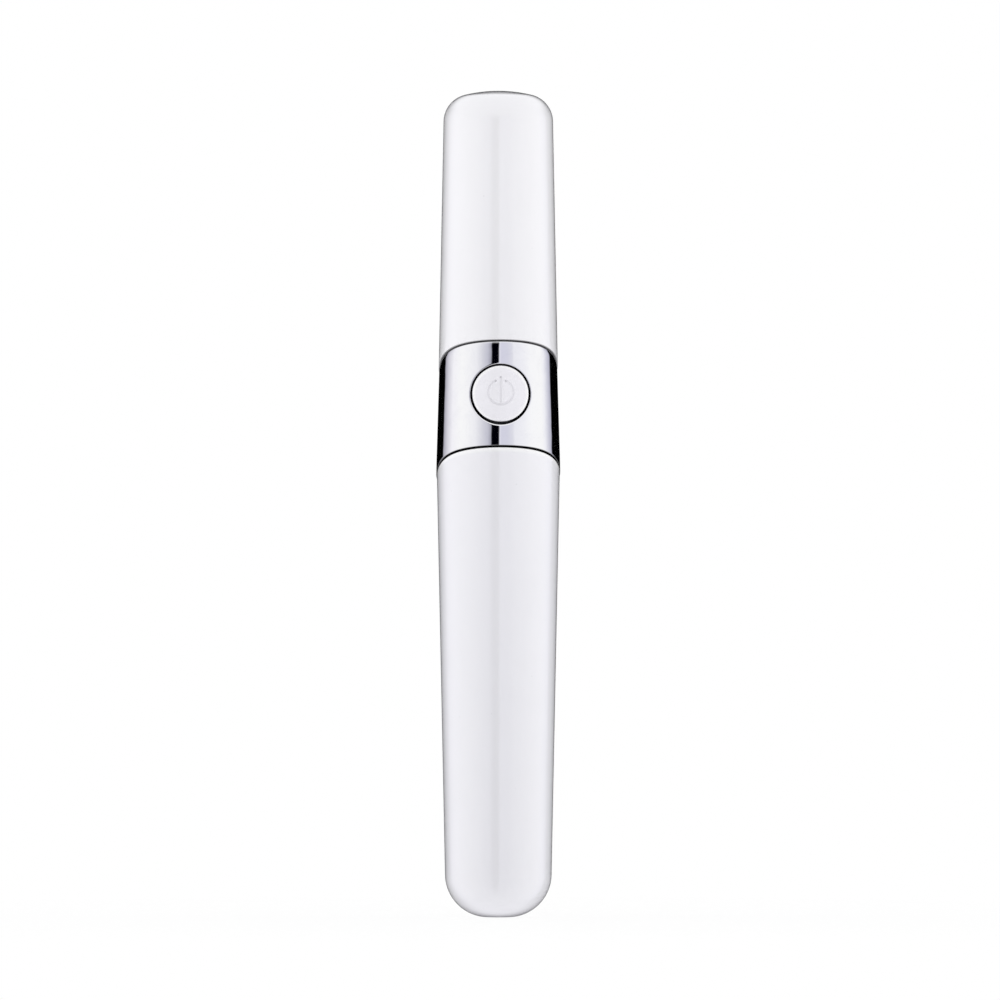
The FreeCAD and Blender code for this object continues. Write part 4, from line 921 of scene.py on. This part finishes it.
def make_ring():
    spots, faces, shading_values = [], [], []

    def add(spot, grime=0.0):
        spots.append(spot)
        shading_values.append(grime)
        return len(spots) - 1

    def place(turned, up, radius):
        return radius * math.sin(turned), -radius * math.cos(turned), up

    def climb(turned, inside):
        """Heights from the lower to the upper edge of a skin at a bearing."""
        radius_at = bore_r if inside else crowned_r
        low = on_seam(radius_at, lower_seam, turned)[1] + (0 if inside else ring_edge)
        high = on_seam(radius_at, upper_seam, turned)[1] - (ring_lip if inside else ring_edge)
        return [low + (high - low) * share for share in crowded(side_rows)]

    rest_turn = 2 * math.pi - 2 * patch_turn
    bearings = [patch_turn + rest_turn * step / rest_across for step in range(rest_across + 1)]
    front = [-patch_turn + 2 * patch_turn * step / patch_across for step in range(patch_across + 1)]

    def skin(inside):
        """The band's outer or inner skin, with the front patch drawn out to a ring round the hole."""
        radius_at = bore_r if inside else crowned_r
        # The inner skin is painted fully dark: painted shade inside the band
        grime = 1.0 if inside else 0.0
        grid = [[add(place(turned, up, radius_at(turned, up)), grime) for up in climb(turned, inside)]
                for turned in bearings]
        for here, after in zip(grid, grid[1:]):
            for row in range(side_rows):
                faces.append((here[row], after[row], after[row + 1], here[row + 1]))

        def across_front(end):
            """The lower (end 0) or upper (end -1) edge of the patch."""
            edge = [grid[-1][end]]
            for turned in front[1:-1]:
                up = climb(turned, inside)[end]
                edge.append(add(place(turned, up, radius_at(turned, up)), grime))
            return edge + [grid[0][end]]

        low = across_front(0)
        high = across_front(-1)
        border = low + grid[0][1:-1] + high[::-1] + grid[-1][-2:0:-1]
        wide = hole_r if inside else hole_r + hole_edge
        rings = []
        for number in border:
            x, y, z = spots[number]
            aim = math.atan2(z - hole_up, x)
            turned = math.atan2(x, -y)
            start_x, start_up = wide * math.cos(aim), hole_up + wide * math.sin(aim)
            start_turned = math.asin(start_x / band_r(start_up))
            line = []
            for share in crowded(patch_rows)[:-1]:
                at_up = start_up + (z - start_up) * share
                at_turned = start_turned + (turned - start_turned) * share
                line.append(add(place(at_turned, at_up, radius_at(at_turned, at_up)), grime))
            rings.append(line + [number])
        for here, after in zip(rings, rings[1:] + rings[:1]):
            for step in range(patch_rows):
                faces.append((here[step], after[step], after[step + 1], here[step + 1]))
        around = [column[0] for column in grid[:-1]] + low[:-1]
        around_high = [column[-1] for column in grid[:-1]] + high[:-1]
        return around, around_high, [line[0] for line in rings]

    def join_loops(loops):
        for first, second in zip(loops, loops[1:]):
            for here, after in zip(range(len(first)), list(range(1, len(first))) + [0]):
                faces.append((first[here], first[after], second[after], second[here]))

    low, high, hole = skin(False)
    inner_low, inner_high, inner_hole = skin(True)
    turns = bearings[:-1] + [turned + 2 * math.pi for turned in front[:-1]]

    def rounded(loop, height, way, shade_share):
        """The small round that follows an edge loop, upward (way 1) or downward (way -1), with painted
        shade that deepens over it up to the given share at its end.
        """
        rims = [on_seam(crowned_r, height, turned) for turned in turns]
        loops = [loop]
        for sine, cosine in quarter_rows(edge_rows):
            onward = way * ring_edge * (1 - sine)
            inward = ring_edge * (1 - cosine)
            loops.append([add(place(turned, up - onward, radius - inward), shade_share * sine)
                          for turned, (radius, up) in zip(turns, rims)])
        return loops

    # The upper edge's round, lightly painted with shade, the flat that follows the seam inward, with the
    # painted shade growing across it, and the lip, painted fully dark as shade
    loops = rounded(high, upper_seam, 1, 0.2)
    lips = [on_seam(lambda turned, up: ring_lip_r, upper_seam, turned)[1] for turned in turns]
    for under in (0, ring_lip):
        loops.append([add(place(turned, up - under, ring_lip_r), 1.0) for turned, up in zip(turns, lips)])
    join_loops(loops + [inner_high])
    # The lower edge's round, painted dark as shade in the gap towards its end, joined to the inner skin
    join_loops(rounded(low, lower_seam, -1, 1.0) + [inner_low])
    # The hole's round, with painted shade at its inner end, and its wall, painted fully dark as shade
    loops = [hole]
    aims = [math.atan2(spots[number][2] - hole_up, spots[number][0]) for number in hole]
    for sine, cosine in quarter_rows(hole_rows):
        wide = hole_r + hole_edge * (1 - sine)
        loop = []
        for aim in aims:
            x, z = wide * math.cos(aim), hole_up + wide * math.sin(aim)
            y = -math.sqrt(band_r(z) ** 2 - x ** 2) + hole_edge * (1 - cosine)
            loop.append(add((x, y, z), sine ** 14))
        loops.append(loop)
    loops.append([add((hole_r * math.cos(aim), -math.sqrt(ring_bore_r ** 2 - (hole_r * math.cos(aim)) ** 2),
                       hole_up + hole_r * math.sin(aim)), 1.0) for aim in aims])
    join_loops(loops + [inner_hole])
    return points_mesh("ring_band", spots, faces, grime=shading_values)


ring = close_up("ring_band", make_ring())
ring.data.materials.append(bare_metal(
    "ring_bright_chrome", (0.93, 0.93, 0.94), (0.90, 0.90, 0.92), 0.02, 0.05,
    Grain_Across=1.0, Grain_Along=40.0, Wave_Size=2.6, Wave_Depth=0.022))
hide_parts("trim_ring")
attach(ring, "handle")


# Power button ---------------------------------------------------------
# A round satin ABS push button, curved like the ring it stands in, with the power sign sunk in its
# face. Its flange is held behind the ring, and its post presses the switch on the board.

button_r = 4.92
button_up = 91.78
button_proud = 0.15
button_edge = 0.3
button_wall = 1.0
post_r = 1.3
flange_r = 6.1
flange_front = math.sqrt(ring_bore_r ** 2 - flange_r ** 2) - 0.08
flange_back = flange_front - 1.0
face_curve = band_r(hole_up) + button_proud
sign_r = 2.15
sign_up = 0.3
sign_open = math.radians(24)
sign_half = 0.2
sign_soft = 0.12
sign_deep = 0.1
bar_top = 2.9
bar_low = -1.4
pit_r = 0.3
pit_deep = 0.08
stroke_painted_shade = 0.07
pit_painted_shade = 0.30
painted_highlight_wide = 0.4
face_painted_highlight = 0.8
crescent_painted_shade = 0.3
turns_round = 288
face_rings = 96
round_rings = 6


def eased_share(share):
    """A share cut to 0 to 1, with a soft start and end."""
    share = min(max(share, 0), 1)
    return share * share * (3 - 2 * share)


def sign_depth(x, up):
    """How deep the sign is at a place on the face, and how much shade is painted in it: an open circle
    and a bar, with a small pit where each stroke ends, painted darker still."""
    ends = [(sign_r * math.sin(sign_open), sign_up + sign_r * math.cos(sign_open)), (0.0, bar_top)]
    if abs(math.atan2(x, up - sign_up)) > sign_open:
        circle = abs(math.hypot(x, up - sign_up) - sign_r)
    else:
        circle = math.hypot(abs(x) - ends[0][0], up - ends[0][1])
    bar = math.hypot(x, up - min(max(up, bar_low), bar_top))
    stroke = eased_share((sign_half + sign_soft / 2 - min(circle, bar)) / sign_soft)
    near_end = min(math.hypot(abs(x) - end_x, up - end_up) for end_x, end_up in ends)
    pit = eased_share(1 - near_end / pit_r)
    # The shade painted in the strokes is darker towards the bottom of the circle
    low_arc = min(max((sign_up - up) / sign_r, 0), 1) ** 3
    grime = (stroke_painted_shade + stroke_painted_shade * low_arc) * stroke + pit_painted_shade * pit
    return sign_deep * stroke + pit_deep * pit, grime


def rim_painted_light(x, up):
    """A painted highlight along the face's edge, apart from a crescent of painted shade at the bottom."""
    near = min(max((math.hypot(x, up) - button_r + button_edge + painted_highlight_wide) / painted_highlight_wide, 0), 1)
    crescent = max(-up / button_r, 0) ** 6
    return near * near * (crescent_painted_shade * crescent - face_painted_highlight * (1 - crescent))


def make_button():
    recess = math.sqrt(face_curve ** 2 - button_r ** 2) - button_wall
    spots, shading_values, faces = [], [], []

    def add_row(wide, back_at, grime_at):
        for number in range(turns_round):
            aim = 2 * math.pi * number / turns_round
            x, up = wide * math.sin(aim), wide * math.cos(aim)
            spots.append((x, back_at(x, up), button_up + up))
            shading_values.append(grime_at(x, up))

    def face_back(x, up):
        return -math.sqrt(face_curve ** 2 - x ** 2) + sign_depth(x, up)[0]

    def face_shading(x, up):
        return sign_depth(x, up)[1] + rim_painted_light(x, up)

    spots.append((0.0, face_back(0.0, 0.0), button_up))
    shading_values.append(sign_depth(0.0, 0.0)[1])
    flat = button_r - button_edge
    for step in range(1, face_rings + 1):
        add_row(flat * (step / face_rings) ** 0.9, face_back, face_shading)
    for sine, cosine in quarter_rows(round_rings):
        # The painted shade in the gap reaches further over the round at the bottom than at the top
        add_row(button_r - button_edge * (1 - sine),
                lambda x, up: face_back(x, up) + button_edge * (1 - cosine),
                lambda x, up: (sine ** (18 - 16 * max(-up / button_r, 0) ** 2)
                               + (1 - sine ** 6) * rim_painted_light(x, up)))
    # The side wall, the flange, the recess and the post, down to the centre of the back, are painted fully
    # dark: painted shade in the gap
    for wide, back in ((button_r, flange_front), (flange_r, flange_front), (flange_r, flange_back),
                       (button_r - button_wall, flange_back), (button_r - button_wall, recess),
                       (post_r, recess), (post_r, flange_back)):
        add_row(wide, lambda x, up: -back, lambda x, up: 1.0)
    spots.append((0.0, -flange_back, button_up))
    shading_values.append(1.0)
    last = len(spots) - 1
    rows = (last - 1) // turns_round
    for here in range(turns_round):
        after = (here + 1) % turns_round
        faces.append((0, 1 + here, 1 + after))
        for row in range(rows - 1):
            low = 1 + row * turns_round
            high = low + turns_round
            faces.append((low + here, high + here, high + after, low + after))
        faces.append((last, last - turns_round + after, last - turns_round + here))
    return points_mesh("power_button_cap", spots, faces, grime=shading_values)


button = close_up("power_button_cap", make_button())
button.data.materials.append(moulding(
    "button_satin_white", (0.900, 0.890, 0.938), (0.890, 0.880, 0.928), 0.22, 0.30,
    Ripple_Size=0.8, Ripple_Depth=0.0008, Speck_Size=0.3))
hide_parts("power_button")
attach(button, "power_button")


# Battery sleeve -------------------------------------------------------
# The lower housing, moulded in gloss white ABS and tapered to a round end with a small flat foot. It
# pulls off downward for the battery, and its rounded rim leaves a dark shadow line under the ring,
# which is deepened by shade painted on the rim's top and its bore, with a highlight painted on the
# outside just under the rim.

columns = 256
sleeve_gap = 0.27
sleeve_base_r = 9.2
sleeve_top_r = 10.78
sleeve_round = 7.55
sleeve_bore_r = 9.3
sleeve_floor = 2.0
sleeve_edge = 0.4
bore_edge = 0.15
cavity_r = 8.1
cavity_round = 6.0
ledge_r = 8.95
ledge_up = 60.4
painted_highlight_high = 0.55
rim_painted_highlight = 0.9
rim_painted_shade = 0.85
bore_painted_shade = 0.9
foot_steps = 30
side_steps = 40
painted_highlight_steps = 3
sleeve_lean = (sleeve_top_r - sleeve_base_r) / lower_seam
sleeve_rim = lower_seam - sleeve_gap

# Turns a half-section round the wand's axis. Each of its points says how far it follows the S of the
# seam up and down, how its radius leans as it does, and how much shade is painted on it (or, below 0,
# how much highlight is painted on it).
turned_shell, given, way_out = new_geometry("turned_shell", {
    "Columns": "Int", "Seam Arc": "Float", "Seam Slant": "Float", "Finish": "Material"})
section_spots = made_by(turned_shell, "GeometryNodeAttributeDomainSize", {0: given["Start"]},
                        component="MESH")
skin_grid = made_by(turned_shell, "GeometryNodeMeshGrid", {
    "Vertices X": calculate("ADD", given["Columns"], 1.0), "Vertices Y": section_spots})
number = made_by(turned_shell, "GeometryNodeInputIndex")
row = calculate("MODULO", number, section_spots)
column = calculate("FLOOR", calculate("DIVIDE", number, section_spots))


def from_section(value, kind):
    return made_by(turned_shell, "GeometryNodeSampleIndex", {
        "Geometry": given["Start"], "Value": value, "Index": row}, data_type=kind)


def section_number(word):
    return from_section(made_by(turned_shell, "GeometryNodeInputNamedAttribute", {"Name": word},
                                data_type="FLOAT"), "FLOAT")


start = split(from_section(made_by(turned_shell, "GeometryNodeInputPosition"), "FLOAT_VECTOR"))
follow = section_number("follow")
lean = section_number("lean")
turned = times(calculate("DIVIDE", column, given["Columns"]), 2 * math.pi)
sine = calculate("SINE", turned)
cosine = calculate("COSINE", turned)
in_front = calculate("SIGN", cosine)
forward = calculate("ABSOLUTE", cosine)
arc_sine = times(given["Seam Arc"], calculate("SINE", given["Seam Slant"]))
arc_cosine = times(given["Seam Arc"], calculate("COSINE", given["Seam Slant"]))
arc_squared = both(given["Seam Arc"], given["Seam Arc"])
radius = start[0]
for _ in range(3):
    reach = minus(arc_sine, times(radius, forward))
    short = minus(arc_squared, times(reach, reach))
    rise = minus(calculate("SQRT", short), arc_cosine)
    rise = times(times(rise, in_front), follow)
    radius = calculate("MULTIPLY_ADD", lean, rise, start[0])
turned_place = joined(
    times(radius, sine),
    times(times(radius, cosine), -1.0),
    calculate("ADD", start[2], rise))
skin_mesh = made_by(turned_shell, "GeometryNodeSetPosition", {
    "Geometry": skin_grid, "Position": turned_place})
end_with(made_by(turned_shell, "GeometryNodeStoreNamedAttribute", {
    "Geometry": skin_mesh, "Name": "grime", "Value": section_number("grime")},
    data_type="FLOAT", domain="POINT"), given["Finish"], way_out)


def turn_shell(name, section, finish):
    """Turns a section into a closed shell. Its points are (radius, height, follow, lean, painted shading),
    where painted shading above 0 is painted shade and below 0 a painted highlight, and what a point
    leaves out is 0."""
    radii, heights, follows, leans, shadings = zip(*[(*spot, 0, 0, 0)[:5] for spot in section])
    half = points_mesh(name + "_section", [(radius, 0, up) for radius, up in zip(radii, heights)],
                       follow=follows, lean=leans, grime=shadings)
    return grow(name, turned_shell, half, Columns=columns, Seam_Arc=seam_arc * MM, Seam_Slant=seam_slant,
                Finish=finish)


def sleeve_skin(up):
    return sleeve_base_r + sleeve_lean * up


turn_r = sleeve_skin(sleeve_round) - sleeve_round * math.hypot(1, sleeve_lean)
foot_turn = math.pi / 2 - math.atan(sleeve_lean)
sleeve_section = [(0, 0), (turn_r * 0.5, 0)]
for step in range(foot_steps + 1):
    bend = foot_turn * step / foot_steps
    sleeve_section.append((turn_r + sleeve_round * math.sin(bend), sleeve_round * (1 - math.cos(bend))))
side_low = sleeve_section[-1][1]
side_high = sleeve_rim - sleeve_edge
painted_highlight_low = side_high - painted_highlight_high
for step in range(1, side_steps + 1):
    up = side_low + (painted_highlight_low - side_low) * step / side_steps
    sleeve_section.append((sleeve_skin(up), up, step / side_steps, sleeve_lean))
# Just under the rim a painted highlight grows towards the round
for step in range(1, painted_highlight_steps + 1):
    up = painted_highlight_low + (side_high - painted_highlight_low) * step / painted_highlight_steps
    sleeve_section.append((sleeve_skin(up), up, 1, sleeve_lean, -rim_painted_highlight * step / painted_highlight_steps))
# On the rim's round the painted highlight gives way to painted shade at its top
for sine, cosine in quarter_rows(7):
    sleeve_section.append((sleeve_skin(sleeve_rim) - sleeve_edge * (1 - cosine),
                           sleeve_rim - sleeve_edge * (1 - sine), 1, sleeve_lean,
                           rim_painted_shade * sine ** 16 - rim_painted_highlight * (1 - sine ** 8)))
# The bore's edge and the bore down to the ledge are painted dark as shade, less so at the ledge
for sine, cosine in [(0, 1)] + quarter_rows(3):
    sleeve_section.append((sleeve_bore_r + bore_edge * (1 - sine), sleeve_rim - bore_edge * (1 - cosine),
                           1, 0, bore_painted_shade))
sleeve_section += [(sleeve_bore_r, ledge_up, 0, 0, 0.3), (ledge_r, ledge_up),
                   (cavity_r, sleeve_floor + cavity_round)]
for sine, cosine in quarter_rows(10):
    sleeve_section.append((cavity_r - cavity_round * (1 - cosine), sleeve_floor + cavity_round * (1 - sine)))
sleeve_section.append((0, sleeve_floor))
# The sleeve's tone is set a little darker than the cap's, though both are the same gloss ABS: the difference
# is painted shade for the lower part
sleeve = turn_shell("sleeve_shell", sleeve_section, moulding(
    "sleeve_gloss_white", (0.882, 0.878, 0.918), (0.874, 0.870, 0.910), 0.12, 0.18, coat=1.0))
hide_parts("battery_sleeve")
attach(sleeve, "battery_sleeve")


# Cap ------------------------------------------------------------------
# The pull-off cap over the warm tip, moulded in the same gloss white ABS, with a softly domed crown.
# Its rim is cut on the upper seam and its bore grips the rubber ring on the neck.

wand_length = 145.0
cap_gap = 0.18
cap_rim_r = 10.45
cap_top_r = 9.54
crown_arc = 25.0
crown_round = 4.9
cap_bore_r = 9.0
cap_wall = 1.2
cap_roof = 1.6
cap_edge = 0.15
dome_r = 5.9
cap_steps = 24
crown_steps = 24
dome_steps = 12
roof_steps = 8
neck_top = upper_seam + 13.5
crown_centre = wand_length - crown_arc
crown_edge = crown_centre + math.sqrt(crown_arc ** 2 - cap_top_r ** 2)
cap_lean = (cap_rim_r - cap_top_r) / (crown_edge - upper_seam)
cap_rim = upper_seam + cap_gap


def cap_skin(up):
    return cap_rim_r - cap_lean * (up - upper_seam)


# Where the round of the crown meets the tapered side and the shallow dome
foot_r = cap_skin(0) - crown_round * math.hypot(1, cap_lean)
steep = 1 + cap_lean ** 2
across = -(foot_r * cap_lean + crown_centre)
apart = foot_r ** 2 + crown_centre ** 2 - (crown_arc - crown_round) ** 2
round_up = (-across + math.sqrt(across ** 2 - steep * apart)) / steep
round_r = foot_r - cap_lean * round_up
side_turn = math.atan(cap_lean)
dome_turn = math.atan2(round_up - crown_centre, round_r)
side_top = round_up + crown_round * math.sin(side_turn)


def arc_part(radius, centre_r, centre_up, first, last, steps):
    """Points of the section on an arc, after its first."""
    turns = [first + (last - first) * step / steps for step in range(1, steps + 1)]
    return [(centre_r + radius * math.cos(bend), centre_up + radius * math.sin(bend)) for bend in turns]


inside_top = crown_edge - crown_round
roof_arc = crown_arc - cap_roof
roof_edge = crown_centre + math.sqrt(roof_arc ** 2 - dome_r ** 2)
roof_turn = math.atan2(roof_edge - crown_centre, dome_r)
cap_section = [(0, crown_centre + roof_arc)]
cap_section += arc_part(roof_arc, 0, crown_centre, math.pi / 2, roof_turn, roof_steps)
for sine, cosine in quarter_rows(roof_steps):
    cap_section.append((dome_r + (cap_top_r - cap_wall - dome_r) * sine,
                        inside_top + (roof_edge - inside_top) * cosine))
# Shade is painted on the bore near the rim, fading upward, on the bore's edge, and on the rim face and its
# outer round, fading to none on the outside
cap_section += [(cap_bore_r, neck_top), (cap_bore_r, (neck_top + cap_rim) / 2, 0.5),
                (cap_bore_r, cap_rim + cap_edge, 1, 0, 0.6)]
for sine, cosine in quarter_rows(3):
    cap_section.append((cap_bore_r + cap_edge * (1 - cosine), cap_rim + cap_edge * (1 - sine), 1, 0,
                        bore_painted_shade))
for sine, cosine in [(0, 1)] + quarter_rows(5):
    cap_section.append((cap_skin(cap_rim) - cap_edge * (1 - sine), cap_rim + cap_edge * (1 - cosine),
                        1, -cap_lean, 0.8 * cosine))
for step in range(1, cap_steps + 1):
    up = cap_rim + cap_edge + (side_top - cap_rim - cap_edge) * step / cap_steps
    cap_section.append((cap_skin(up), up, 1 - step / cap_steps, -cap_lean))
cap_section += arc_part(crown_round, round_r, round_up, side_turn, dome_turn, crown_steps)
cap_section += arc_part(crown_arc, 0, crown_centre, dome_turn, math.pi / 2, dome_steps)
# Its tone is a little lighter than the sleeve's; the sleeve's darker tone is painted shade
cap = turn_shell("cap_shell", cap_section, moulding(
    "cap_gloss_white", (0.905, 0.900, 0.928), (0.897, 0.892, 0.920), 0.12, 0.18, coat=1.0))
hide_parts("cap")
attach(cap, "cap")
